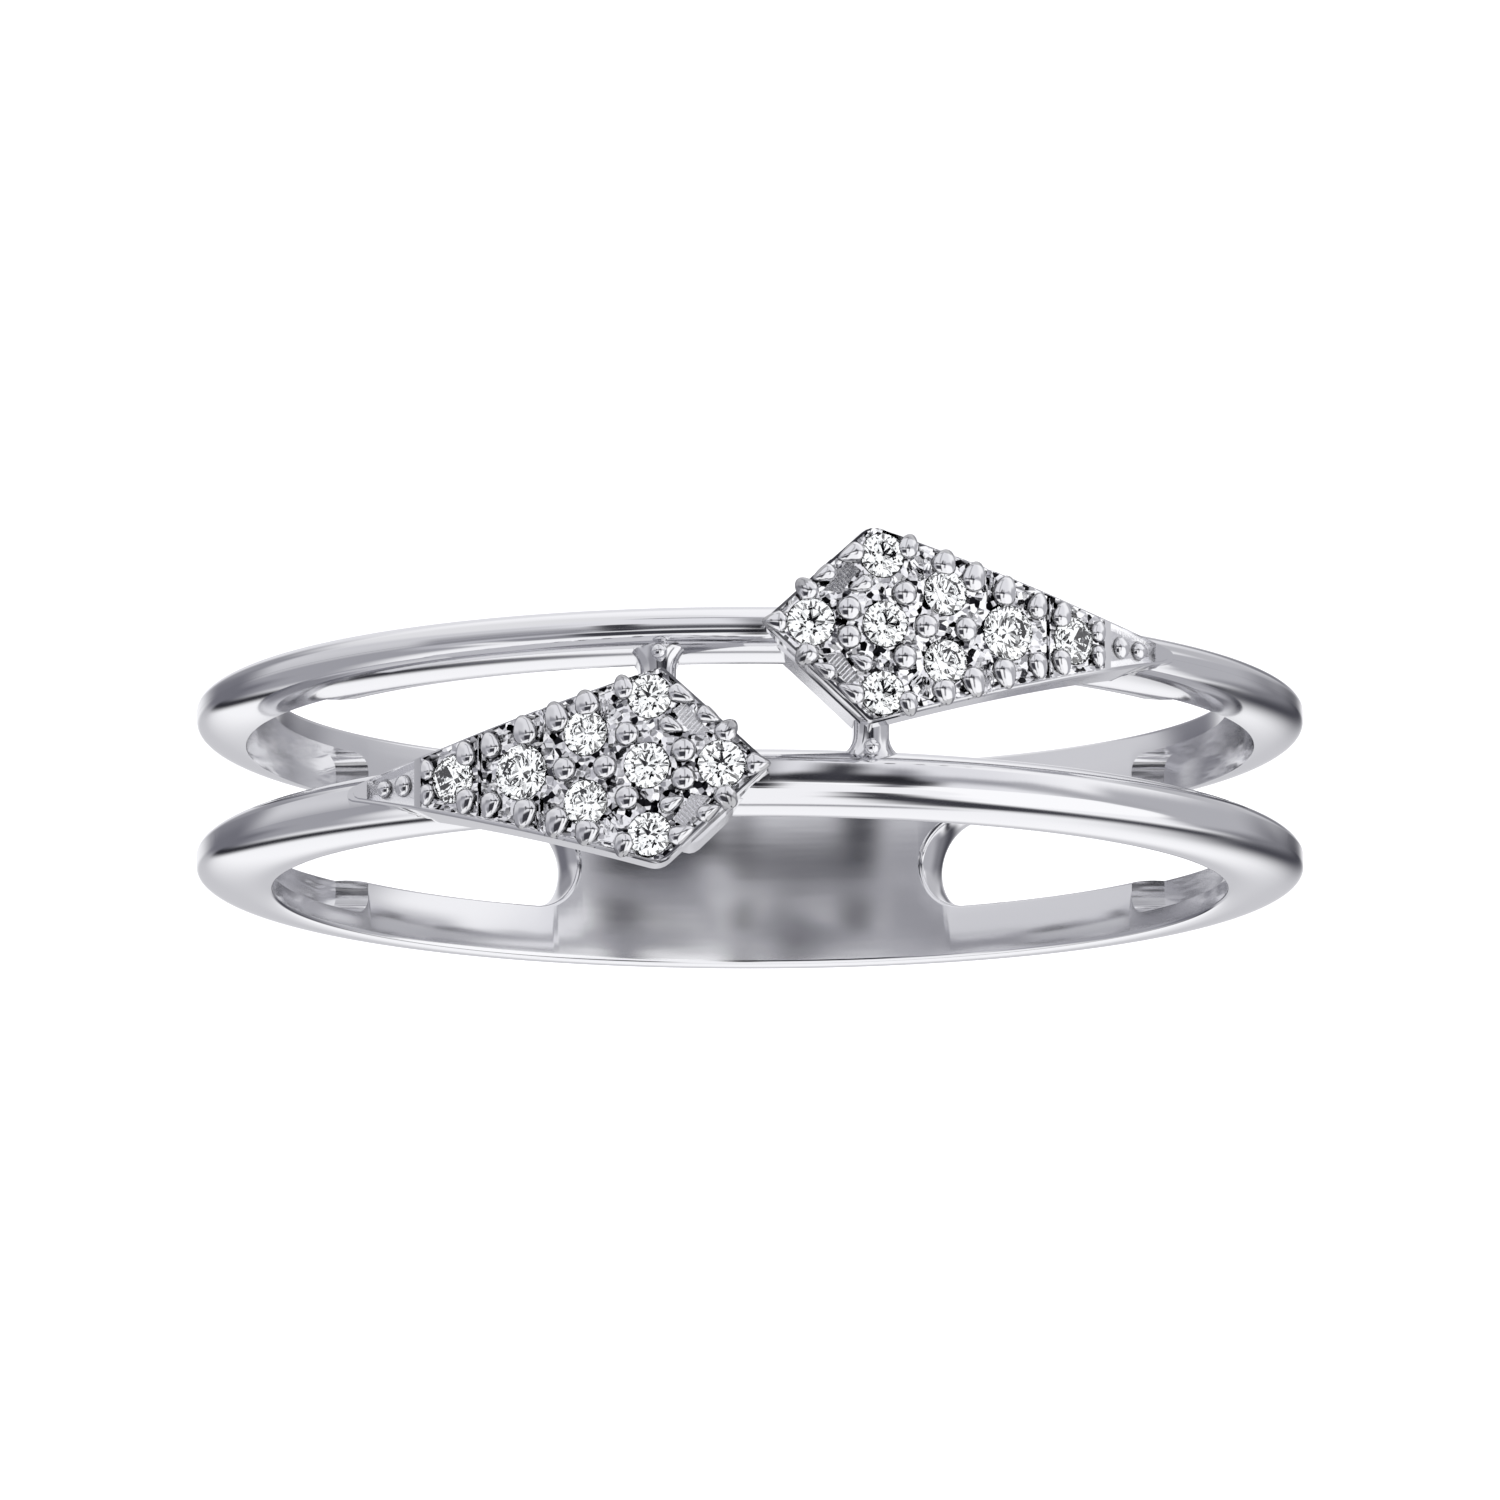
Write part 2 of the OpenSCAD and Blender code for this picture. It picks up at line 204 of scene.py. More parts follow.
# The studio around the ring, as the polished metal shows it: name, azimuth from the camera's side towards
# the picture's right, elevation towards the picture's top, half width, half height, soft edge, slant
# (azimuth for each degree of elevation), all in degrees, and tone. A later card covers an earlier one.
TENT = "#f0f0f2"
CARDS = [
    ("overhead_left", -92, 58, 66, 42, 40, 0, "#dddddf"),
    ("upper_front", 0, 40, 62, 46, 30, 0, "#dcdce0"),
    ("upper_left", -92, 24, 52, 16, 22, 0, "#c8c8cc"),
    ("upper_back", 180, 24, 34, 13, 12, 0, "#d4d4d8"),
    ("upper_back_left", -142, 24, 20, 14, 14, 0, "#8e8e94"),
    ("upper_right", 132, 32, 24, 20, 22, 0, "#b4b4b8"),
    ("upper_back_right", 166, 21, 9, 6, 8, 0, "#77777d"),
    ("side_left", -110, -19, 42, 28, 14, 0, "#9a9aa0"),
    ("front_left", -55, -12, 20, 14, 14, 0, "#b4b4ba"),
    ("front_left_high", -52, 6, 20, 7, 9, 0, "#8a8a90"),
    ("side_right", 108, -10, 30, 28, 10, 0, "#acacb1"),
    ("low_right", 74, -32, 36, 34, 6, -1.1, "#fafafb"),
    ("low_left", -44, -30, 14, 14, 12, 0, "#88888e"),
    ("low_front_left", -16, -25, 22, 18, 8, 0, "#3a3a40"),
    ("backdrop", 180, -4, 26, 9, 12, 0, "#bcbcc0"),
    ("dark_left", -140, -5, 14, 21, 16, 0, "#6c6c74"),
    ("dusk_right", 146, -8, 16, 24, 20, 0, "#77777d"),
    ("dark_right", 158, -10, 8, 22, 16, 0, "#45454c"),
]
# Narrow dark bars: name, azimuth and elevation of both ends, half width, soft edge and tone
BARS = [
    ("overhead_bar", -44, 74, 10, 70, 3, 6, "#77777d"),
    ("camera_shade", 31, 12, 32, 18, 4, 8, "#8a8a90"),
    ("camera_left", -20, 9, 8, 8, 4, 6, "#4a4a50"),
    ("camera_below", 31, 2, 29, -20, 4, 8, "#6c6c72"),
    ("camera_stand", 2, 62, 2, 8, 2, 10, "#5c5c62"),
    ("camera_foot", 2, 8, 2, -58, 3, 6, "#1c1c20"),
    ("camera", 12, 9, 34, 8, 6, 6, "#26262b"),
    ("camera_top", 17, 10, 20, 22, 5, 9, "#3a3a40"),
    ("camera_arm", -26, 5, -28, 17, 5, 6, "#3a3a40"),
    ("horizon_right", 38, 12, 60, 11, 3, 5, "#98989e"),
    ("horizon_far_right", 60, 11, 92, 0, 4, 6, "#a6a6ab"),
    ("under_left", -152, -14, -169, -42, 4, 6, "#2a2a30"),
    ("under_middle", -169, -42, 174, -44, 2, 5, "#77777d"),
    ("under_right", 154, -34, 159, -52, 5, 9, "#45454b"),
    ("under_back", 159, -52, 146, -69, 5, 6, "#3a3a40"),
    ("under_front", 146, -69, 70, -75, 4, 6, "#3a3a40"),
]
# The stones' own lights: white all round, with a dark spot at the camera and dark flags, which the facets
# break up into black and white. Each flag leans, and has a half width, a soft edge and a tone.
STONE_BARS = [("camera", 0, -9, 1, -9, 15, 8, "#1c1c20")]
FLAGS = 7
FLAG_TOP = 66
FLAG_LEAN = 14
FLAG_LOOKS = (14, 2, "#08080a")
for flag in range(FLAGS):
    foot = 360 * flag / FLAGS
    STONE_BARS.append(("flag", foot, -FLAG_TOP, foot + FLAG_LEAN, FLAG_TOP, *FLAG_LOOKS))
# Steps of the domes that carry the studio's tones, and their radius
DOME_STEPS = 180
DOME_RADIUS = 1.6

# Proportions of a brilliant-cut stone, as shares of its diameter
TABLE_SHARE = 0.57
CROWN_SHARE = 0.15
GIRDLE_SHARE = 0.03
PAVILION_SHARE = 0.43


def linear(hex_colour):
    """An sRGB hex colour as linear red, green, blue."""
    channels = [int(hex_colour[i:i + 2], 16) / 255 for i in (1, 3, 5)]
    return [c / 12.92 if c <= 0.04045 else ((c + 0.055) / 1.055) ** 2.4 for c in channels]


def length(name, description, default_mm):
    """A property for a length, given in millimetres and kept in metres."""
    return FloatProperty(name=name, description=description, default=default_mm * MM, unit="LENGTH",
                         subtype="DISTANCE", precision=5)


def angle(name, description, degrees):
    """A property for an angle, given in degrees and kept in radians."""
    return FloatProperty(name=name, description=description, default=math.radians(degrees),
                         unit="ROTATION", subtype="ANGLE")


def colour(name, description, hex_colour):
    """A property for a colour, given as sRGB hex."""
    return FloatVectorProperty(name=name, description=description, default=linear(hex_colour), size=3,
                               min=0, max=1, subtype="COLOR")


def roughness(name, description, share):
    """A property for a surface's roughness."""
    return FloatProperty(name=name, description=description, default=share, min=0, max=1, subtype="FACTOR")


def brightness(name, description, strength):
    """A property for a light's strength."""
    return FloatProperty(name=name, description=description, default=strength, min=0)


class RingBandSizes(bpy.types.PropertyGroup):
    """Sizes of the shank, the two bands and the slot between them"""
    finger_radius: length("Finger radius", "Radius of the finger hole", FINGER_HOLE["dims"]["r_mm"])
    ring_width: length("Ring width", "From one side face to the other", 3.65)
    thickness: length("Thickness", "From the finger hole to the top of a band's crown", 1.35)
    wall: length("Side wall", "Height of the side walls below the crown", 0.6)
    crown_half_width: length("Crown half width", "Half width of each band's round crown", 0.41)
    edge_radius: length("Edge radius", "Radius that polishing leaves on the finger hole's edges", 0.07)
    slot_width: length("Slot width", "Width of the slot between the bands", 1.55)
    slot_end_angle: angle("Slot end", "From the middle of the shank's back to each end of the slot", 21.6)
    lean: angle("Lean", "How far the slot and the kites lean out of the ring's plane", 0.6)
    hollow_depth: length("Hollow depth", "Depth of the hollows inside the shoulders", 0.48)
    hollow_width: length("Hollow width", "Width of each hollow across both bands", 2.88)
    hollow_half_angle: angle("Hollow half angle", "From the middle of a shoulder to its hollow's end", 36)
    hollow_corner: length("Hollow corner", "Radius that rounds the corners of the hollows", 0.3)


class RingKiteSizes(bpy.types.PropertyGroup):
    """Sizes of the two kites, their rims, beads and bridges"""
    turn: angle("Turn", "Turn of the kites about the finger, away from the middle of the front", -1.6)
    long: length("Length", "From the blunt tip to the sharp tip", 7.6)
    wide: length("Width", "Across the two side corners", 3.5)
    wide_at: length("Widest at", "From the blunt tip to the widest place", 1.9)
    overlap: length("Overlap", "How far each blunt tip reaches past the middle of the front", 0.1)
    axis_height: length("Axis height", "Of a kite's long axis above the middle of the ring", 1.25)
    top_radius: length("Top radius", "From the finger's axis to the highest place of the face", 10.25)
    face_radius: length("Face radius", "Radius of a kite's curved face", 8.6)
    top_angle: angle("Top angle", "Of the highest place of the face, from the middle of the front", 8)
    tip_stand: length("Tip stand", "By which the sharp tips stand off the top of the band", 0.22)
    plate: length("Plate", "Thickness of the plate that holds the stones", 0.75)
    ledge: length("Ledge", "By which the wall below the plate stands out past it", 0.05)
    set_back: length("Set-back", "Of the kites' walls and bridges from the finger hole", 0.05)
    short_rim: length("Short rim", "Width of the flat rim along the short edges", 0.07)
    long_rim: length("Long rim", "Width of the flat rim along the long edges", 0.05)
    bright_cut: length("Bright cut", "Width of the bevel between the rim and the field", 0.1)
    recess: length("Recess", "Depth of the cut field around the stones", 0.055)
    recess_end: length("Recess end", "Where the cut field ends towards the sharp tip", 5.95)
    scoop_depth: length("Scoop depth", "Depth of the scoop that holds the tip's beads", 0.04)
    scoop_start: length("Scoop start", "Where the scoop starts, past the field's end", 6.05)
    scoop_end: length("Scoop end", "Where the flat facet of the sharp tip starts", 6.78)
    chatter: length("Chatter", "Height of the facets that the graver leaves on the field", 0.035)
    chatter_step: length("Chatter step", "Width of those facets", 0.13)
    edge_step: length("Edge step", "By which the plate's upper edge stands back from its lower edge", 0.03)
    edge_step_depth: length("Edge step depth", "Depth of that step below the face", 0.2)
    seat_gap: length("Seat gap", "Between a stone and the metal around it", 0.012)
    girdle_drop: length("Girdle drop", "Depth of a stone's girdle below the face", 0.05)
    bead_height: length("Bead height", "From the widest place of a bead to its top", 0.145)
    bead_sink: length("Bead sink", "Depth of the beads' widest place below the face", 0.04)
    line_width: length("Line width", "Width of the graver's fine lines", 0.045)
    line_depth: length("Line depth", "Depth of the graver's fine lines", 0.03)
    seat_flare: length("Seat flare", "By which a seat opens out above the girdle", 0.04)
    graver_width: length("Graver width", "Width of the cuts between the stones", 0.1)
    graver_depth: length("Graver depth", "Depth of the cuts between the stones", 0.22)
    pocket_depth: length("Pocket depth", "Depth of the scraped pockets", 0.1)
    bridge_at: length("Bridge place", "Of the bridge, along the kite's axis", 1.85)
    bridge_half_width: length("Bridge half width", "Half width of the bridge's neck", 0.31)
    bridge_fillet: length("Bridge fillet", "Radius of the bridge's foot", 0.42)
    bridge_drop: length("Bridge drop", "Depth of the bridge below the top of the band", 0.18)
    bridge_round: length("Bridge rounding", "Height of the bridge's round back", 0.3)
    post: length("Post", "Diameter of the round post on the bridge's foot", 0.3)


class RingFinish(bpy.types.PropertyGroup):
    """Colours and roughness of the metal and the stones"""
    gold: colour("White gold", "Rhodium-bright polished white gold", "#e9e9eb")
    bright: colour("Bright cut", "White gold fresh from the graver", "#f8f8fa")
    # Black of the painted shade between beads and stones, and of the tiny mirrors painted black
    painted_black: colour("Painted black", "Painted shade deep between beads and stones, and the painted black of some tiny mirrors", "#17171b")
    cut: roughness("Cut", "Roughness of the graver's cuts", 0.07)
    polish: roughness("Polish", "Roughness of the polished outside", 0.06)
    buff: roughness("Buff", "Roughness of the buffed finger hole", 0.12)
    scrape: roughness("Scrape", "Roughness of the scraped pockets", 0.16)
    tumble: roughness("Tumble", "Roughness of the tumbled hollows", 0.1)
    diamond: colour("Diamond", "Near-colourless diamond", "#fbfdff")


class RingStudio(bpy.types.PropertyGroup):
    """Camera, floor and light"""
    distance: FloatProperty(name="Camera distance", description="From the camera to its aim", default=0.44,
                            unit="LENGTH", subtype="DISTANCE")
    elevation: angle("Elevation", "Of the camera above the ring's plane", 9.15)
    aim_offset: length("Aim offset", "How far the ring's middle lies below the picture's middle", 0.73)
    picture_width: length("Picture width", "Width of the picture at the ring's middle", 26.57)
    light: brightness("Light", "Brightness of the studio's walls", 1.23)
    stone_light: brightness("Stone light", "Brightness of the lights that the stones gather", 1.5)
    floor_glow: brightness("Floor glow", "Light that comes up through the paper", 0.7)


def linked(name, data):
    """A new object in the scene."""
    obj = bpy.data.objects.new(name, data)
    bpy.context.scene.collection.objects.link(obj)
    return obj


def solid(name, points, faces, material):
    """A closed mesh object with its faces outwards."""
    mesh = bpy.data.meshes.new(name)
    mesh.from_pydata(points, [], faces)
    mesh.materials.append(material)
    work = bmesh.new()
    work.from_mesh(mesh)
    bmesh.ops.recalc_face_normals(work, faces=work.faces)
    work.to_mesh(mesh)
    work.free()
    return linked(name, mesh)


def skin(rings, per_ring, along=False):
    """Quads between neighbouring rings of points; along joins the last ring to the first."""
    faces = []
    for k in range(rings if along else rings - 1):
        here, ahead = k * per_ring, (k + 1) % rings * per_ring
        for i in range(per_ring):
            j = (i + 1) % per_ring
            faces.append((here + i, here + j, ahead + j, ahead + i))
    return faces


def capped(name, points, per_ring, material):
    """A solid over rings of points, with a cap on the first and the last."""
    caps = [tuple(range(per_ring)), tuple(range(len(points) - per_ring, len(points)))]
    return solid(name, points, skin(len(points) // per_ring, per_ring) + caps, material)


def prism(name, outline, low, high, place, material):
    """A straight solid over an outline of (x, y), from z = low to z = high."""
    points = [place @ Vector((x, y, z)) for z in (low, high) for x, y in outline]
    return capped(name, points, len(outline), material)


def circle(radius, steps):
    """Outline of a circle."""
    return [(radius * math.cos(math.tau * i / steps), radius * math.sin(math.tau * i / steps))
            for i in range(steps)]


def disc(name, radius, half_height, steps, place, material):
    """A cylinder about its own Z, centred."""
    return prism(name, circle(radius, steps), -half_height, half_height, place, material)


def about_finger(name, radius, half_height, material, shift=0):
    """A cylinder about the finger's axis."""
    return disc(name, radius, half_height, RING_STEPS, Matrix.Translation((0, 0, shift)), material)


def revolve(name, profile, steps, material):
    """A closed profile of (radius, z) turned once about Z."""
    points = []
    for i in range(steps):
        a = math.tau * i / steps
        points += [(r * math.cos(a), r * math.sin(a), z) for r, z in profile]
    return solid(name, points, skin(steps, len(profile), along=True), material)


def lathe(name, profile, steps, place, material):
    """A turned solid about its own Z; profile is (radius, z) without the two points on the axis."""
    points = [place @ Vector((x, y, z)) for r, z in profile for x, y in circle(r, steps)]
    return capped(name, points, steps, material)


def rounded(corners, steps=EDGE_STEPS):
    """Outline of corners (x, y, radius), each rounded by an arc."""
    points = []
    for i, (x, y, radius) in enumerate(corners):
        here = Vector((x, y))
        back = (Vector(corners[i - 1][:2]) - here).normalized()
        ahead = (Vector(corners[(i + 1) % len(corners)][:2]) - here).normalized()
        half_angle = math.acos(back.dot(ahead)) / 2
        inward = (back + ahead).normalized()
        centre = here + inward * radius / math.sin(half_angle)
        outward = math.atan2(-inward.y, -inward.x)
        way = math.copysign(1, back.x * ahead.y - back.y * ahead.x)
        for k in range(-steps, steps + 1, 2):
            a = outward - way * (math.pi / 2 - half_angle) * k / steps
            points.append((centre.x + radius * math.cos(a), centre.y + radius * math.sin(a)))
    return points


def combine(target, others, operation):
    """Cuts, joins or intersects the target with other solids, and deletes them."""
    tools = bpy.data.collections.new("tools")
    for other in others:
        tools.objects.link(other)
    boolean = target.modifiers.new(operation, "BOOLEAN")
    boolean.operation = operation
    boolean.operand_type = "COLLECTION"
    boolean.collection = tools
    boolean.solver = "MANIFOLD"
    boolean.material_mode = "TRANSFER"
    settle(target)
    bpy.data.collections.remove(tools)
    for other in others:
        bpy.data.meshes.remove(other.data)
    return target


def settle(obj):
    """Turns what an object's modifiers make into its plain mesh, and removes them."""
    evaluated = obj.evaluated_get(bpy.context.evaluated_depsgraph_get())
    made = bpy.data.meshes.new_from_object(evaluated)
    obj.modifiers.clear()
    old, obj.data = obj.data, made
    bpy.data.meshes.remove(old)
    if not made.polygons:
        raise RuntimeError(f"{obj.name} came out empty")


def add_node(tree, kind, settings=None, inputs=None):
    """Adds one node. settings are its own properties; inputs are values, or the sockets that feed them."""
    node = tree.nodes.new(kind)
    for key, value in (settings or {}).items():
        setattr(node, key, value)
    for key, value in (inputs or {}).items():
        if isinstance(value, bpy.types.NodeSocket):
            tree.links.new(value, node.inputs[key])
        else:
            node.inputs[key].default_value = value
    return node


def crown(sizes, a):
    """A band's crown from its side wall inwards, at an angle on its ellipse: (radius, distance inwards)."""
    foot = sizes.finger_radius + sizes.wall
    rise = sizes.thickness - sizes.wall
    share = (math.sin(a) - math.sin(CROWN_EDGE)) / (1 - math.sin(CROWN_EDGE))
    return foot + rise * share, sizes.crown_half_width * (1 - math.cos(a) / math.cos(CROWN_EDGE))


def band_side(sizes):
    """A band's side from the finger hole to the top of the crown: (radius, distance in from the face).

    Polishing has worn the wall a little round, so it runs into the crown without a crease.
    """
    rise = sizes.thickness - sizes.wall
    tilt = math.atan2(sizes.crown_half_width * math.tan(CROWN_EDGE),
                      rise * math.cos(CROWN_EDGE) / (1 - math.sin(CROWN_EDGE)))
    edge = sizes.edge_radius
    low = sizes.finger_radius + edge * (1 - math.sin(tilt))
    half = (sizes.finger_radius + sizes.wall - low) / 2
    bend = half / math.sin(tilt)
    worn = bend * (1 - math.cos(tilt))
    points = []
    for k in range(EDGE_STEPS):
        a = tilt + (math.pi / 2 - tilt) * (1 - k / EDGE_STEPS)
        inwards = worn + edge * (math.cos(tilt) - math.cos(a))
        points.append((sizes.finger_radius + edge * (1 - math.sin(a)), inwards))
    for k in range(WALL_STEPS):
        a = tilt * (2 * k / WALL_STEPS - 1)
        points.append((low + half + bend * math.sin(a), bend * (1 - math.cos(a))))
    quarter = math.pi / 2 - CROWN_EDGE
    for k in range(CROWN_STEPS + 1):
        r, inwards = crown(sizes, CROWN_EDGE + quarter * k / CROWN_STEPS)
        points.append((r, worn + inwards))
    return points


def whole_ring(sizes, metal):
    """The ring before the slot is cut: straight inside, with sides that run into its round crowns."""
    half = sizes.ring_width / 2
    side = [(r, half - inwards) for r, inwards in band_side(sizes)]
    return revolve("whole_ring", side + [(r, -z) for r, z in reversed(side)], RING_STEPS, metal)


def slot_cutter(sizes, metal):
    """The slot: a long hole round the front with round ends, as wide as its section says at each depth."""
    half = sizes.slot_width / 2
    wall = [(r, half + inwards) for r, inwards in band_side(sizes)]
    section = [(sizes.finger_radius - PAST, wall[0][1])] + wall
    # Past the top of the crowns the cutter steps out a hair and goes straight on
    (r0, h0), (r1, h1) = section[-2:]
    outside = h1 + (h1 - h0)
    section += [(r1 + PAST * (r1 - r0), outside), (r1 + PAST, outside)]
    end = sizes.slot_end_angle + math.asin(half / sizes.finger_radius)
    straight = round(RING_STEPS * (1 - end / math.pi))
    points = []
    for r, h in section:
        loop = []
        for side in (1, -1):
            first = math.pi / 2 + side * end
            sweep = side * 2 * (math.pi - end)
            for k in range(straight + 1):
                a = first + sweep * k / straight
                loop.append((r * math.cos(a), r * math.sin(a), side * h))
            last = first + sweep
            out = Vector((math.cos(last), math.sin(last), 0))
            across = Vector((-math.sin(last), math.cos(last), 0)) * side
            for k in range(1, SMALL_STEPS):
                a = math.pi * k / SMALL_STEPS
                loop.append(out * r + across * h * math.sin(a) + Vector((0, 0, side * h * math.cos(a))))
        points += loop
    count = len(points) // len(section)
    faces = skin(len(section), count)
    lean = Matrix.Rotation(sizes.lean, 4, "X")
    # The loop mirrors about the slot's middle, so each cap is quads from one side to the other
    first_tip = straight + SMALL_STEPS // 2
    for base in (0, count * (len(section) - 1)):
        for k in range(count // 2):
            pair = [first_tip - k, first_tip - k - 1, first_tip + k + 1, first_tip + k]
            faces.append(tuple(dict.fromkeys(base + i % count for i in pair)))
    return solid("slot", [lean @ Vector(p) for p in points], faces, metal)


def hollow_cutter(sizes, tumbled):
    """The hollows inside both shoulders, cut sideways from the middle of the finger hole."""
    outer = sizes.finger_radius + sizes.hollow_depth
    y = sizes.finger_radius * math.sin(sizes.hollow_half_angle)
    z = sizes.hollow_width / 2
    r = sizes.hollow_corner
    outline = rounded([(-y, -z, r), (y, -z, r), (y, z, r), (-y, z, r)], 3 * EDGE_STEPS)
    sideways = Matrix(((0, 0, 1, 0), (1, 0, 0, 0), (0, 1, 0, 0), (0, 0, 0, 1)))
    block = prism("hollows", outline, -2 * outer, 2 * outer, sideways, tumbled)
    inside = about_finger("hollow_floor", outer, sizes.ring_width, tumbled)
    return combine(block, [inside], "INTERSECT")


def kite_place(kite, sizes, lean):
    """Where a kite's own axes lie: the lower kite is the upper one turned half a turn about the front."""
    half_turn = 0 if kite == "upper" else math.pi
    swing = Matrix.Rotation(sizes.turn, 4, "Z")
    return Matrix.Rotation(lean, 4, "X") @ swing @ Matrix.Rotation(half_turn, 4, "Y")


def forwards(sizes):
    """Carries an outline of (along, across) to the front: its third axis runs out of the front."""
    out = Matrix(((1, 0, 0, 0), (0, 0, -1, 0), (0, 1, 0, 0), (0, 0, 0, 1)))
    return Matrix.Translation((0, 0, sizes.axis_height)) @ out


def face_axis(sizes):
    """Where the axis of a kite's curved face stands."""
    offset = sizes.top_radius - sizes.face_radius
    return Vector((offset * math.sin(sizes.top_angle), -offset * math.cos(sizes.top_angle), 0))


def on_face(sizes, x, s):
    """The place (x, s) on a kite's face, with +Z standing off the face."""
    axis = face_axis(sizes)
    swing = math.asin((x - axis.x) / sizes.face_radius)
    return (Matrix.Translation((axis.x, axis.y, sizes.axis_height + s)) @ Matrix.Rotation(swing, 4, "Z")
            @ Matrix.Translation((0, -sizes.face_radius, 0)) @ Matrix.Rotation(math.pi / 2, 4, "X"))


def face_disc(name, sizes, depth, metal):
    """A cylinder about the axis of the kite's face, to a depth below the face."""
    return disc(name, sizes.face_radius - depth, 3 * sizes.wide, FACE_STEPS,
                Matrix.Translation(face_axis(sizes)), metal)


def kite_plate(sizes, bands, metal):
    """The plate that holds the stones, with a fine step round its edge and its sharp tip off the band."""
    tip_radius = bands.finger_radius + bands.thickness + sizes.tip_stand
    blunt, widest, sharp = -sizes.overlap, sizes.wide_at - sizes.overlap, sizes.long - sizes.overlap
    half = sizes.wide / 2
    step = sizes.edge_step_depth
    layers = []
    for inset, top, under in ((0, step, sizes.plate), (sizes.edge_step, 0, 2 * step)):
        near = inset * math.hypot(1, sizes.wide_at / half)
        far = inset * math.hypot(1, (sharp - widest) / half)
        outline = rounded([(blunt + near, 0, CORNER), (widest, half - inset, OUTER_CORNER),
                           (sharp - far, 0, CORNER), (widest, inset - half, CORNER)])
        layer = prism("plate", outline, 0, sizes.top_radius + PAST, forwards(sizes), metal)
        face = face_disc("face", sizes, top, metal)
        tips = about_finger("tips", tip_radius - top / 2, 3 * sizes.wide, metal)
        combine(layer, [combine(face, [tips], "UNION")], "INTERSECT")
        layers.append(combine(layer, [face_disc("back", sizes, under, metal)], "DIFFERENCE"))
    lower, upper = layers
    return combine(lower, [upper], "UNION")


def kite_wall(sizes, metal):
    """The wall below the plate, which follows the short edges and stops at the band."""
    tip, widest = -sizes.overlap - sizes.ledge, sizes.wide_at - sizes.overlap
    end = widest + WALL_STOP
    half = sizes.wide / 2
    outline = rounded([
        (tip, 0, CORNER),
        (tip + sizes.wide_at * WALL_REACH, half * WALL_REACH + sizes.ledge, WALL_CORNER),
        (end, WALL_END, WALL_END_CORNER),
        (end, -WALL_END, WALL_END_CORNER),
        (widest, -half - sizes.ledge, CORNER),
    ])
    wall = prism("wall", outline, 0, sizes.top_radius + PAST, forwards(sizes), metal)
    combine(wall, [face_disc("under_plate", sizes, sizes.plate - sizes.ledge, metal)], "INTERSECT")
    return combine(wall, [about_finger("reach", sizes.top_radius, 3 * sizes.wide, metal)], "INTERSECT")


def kite_bridge(sizes, bands, metal):
    """The bridge from the kite's inner corner to the other band: a saddle with a round back and a post."""
    neck = -sizes.wide / 2 - NECK_PAST
    foot = neck - sizes.bridge_fillet
    back = bands.finger_radius + bands.thickness - sizes.bridge_drop
    stations = [(neck + PAST, sizes.bridge_half_width)]
    for k in range(2 * EDGE_STEPS + 1):
        a = math.pi / 2 * k / (2 * EDGE_STEPS)
        stations.append((neck - sizes.bridge_fillet * math.sin(a),
                         sizes.bridge_half_width + sizes.bridge_fillet * (1 - math.cos(a))))
    points = []
    for s, half in stations:
        for k in range(SMALL_STEPS + 1):
            a = math.pi * k / SMALL_STEPS
            x = sizes.bridge_at + half * math.cos(a)
            y = -math.sqrt(back ** 2 - x ** 2) + sizes.bridge_round * (1 - math.sin(a))
            points.append(Vector((x, y, sizes.axis_height + s)))
        for side in (-1, 1):
            x, y = sizes.bridge_at + side * half, PAST - bands.finger_radius
            points.append(Vector((x, y, sizes.axis_height + s)))
    bridge = capped("bridge", points, len(points) // len(stations), metal)
    reach = math.sqrt((bands.finger_radius + bands.thickness - sizes.post / 4) ** 2 - sizes.bridge_at ** 2)
    centre = Matrix.Translation((sizes.bridge_at, -reach, sizes.axis_height + foot + sizes.post / 2))
    return combine(bridge, [ball("post", sizes.post / 2, centre, metal)], "UNION")


def ball(name, radius, place, material):
    """A sphere."""
    steps = SMALL_STEPS // 2
    turns = [math.pi * k / steps for k in range(1, steps)]
    profile = [(radius * math.sin(a), radius * math.cos(a)) for a in turns]
    return lathe(name, profile, SMALL_STEPS, place, material)


def field_half_width(sizes, x):
    """Half width of the cut field at a distance along the kite's axis, inside both rims."""
    half = sizes.wide / 2
    blunt, sharp = -sizes.overlap, sizes.long - sizes.overlap
    rise = half / sizes.wide_at
    fall = half / (sizes.long - sizes.wide_at)
    return min(rise * (x - blunt) - sizes.short_rim * math.hypot(1, rise),
               fall * (sharp - x) - sizes.long_rim * math.hypot(1, fall))


def field_cutter(name, sizes, start, end, depth, chatter, seed, cut_metal):
    """A field that the graver lowers, bent to the kite's face, with small facets on its floor."""
    dice = random.Random(seed)
    step = sizes.chatter_step
    across = round(sizes.wide / step)
    x = start
    while field_half_width(sizes, x) < FIELD_LEAST * sizes.bright_cut:
        x += START_STEP * step
    stations = []
    while x < end:
        stations.append(x)
        x += step
    stations.append(end)
    points = []
    for x in stations:
        half = field_half_width(sizes, x)
        foot = max(half - sizes.bright_cut, FIELD_LEAST * half)
        points += [on_face(sizes, x, s) @ Vector((0, 0, h)) for s, h in ((-half, PAST), (-half, 0))]
        edge = x in (stations[0], stations[-1])
        gap = 2 * foot / across
        for k in range(across + 1):
            wander = 0 if edge or k in (0, across) else 1
            along = x + wander * dice.uniform(-FACET_WANDER, FACET_WANDER) * step
            s = -foot + gap * (k + wander * dice.uniform(-FACET_WANDER, FACET_WANDER))
            rise = wander * chatter * min(1, gap / step) * dice.uniform(-1, 1)
            points.append(on_face(sizes, along, s) @ Vector((0, 0, rise - depth)))
        points += [on_face(sizes, x, s) @ Vector((0, 0, h)) for s, h in ((half, 0), (half, PAST))]
    return capped(name, points, len(points) // len(stations), cut_metal)


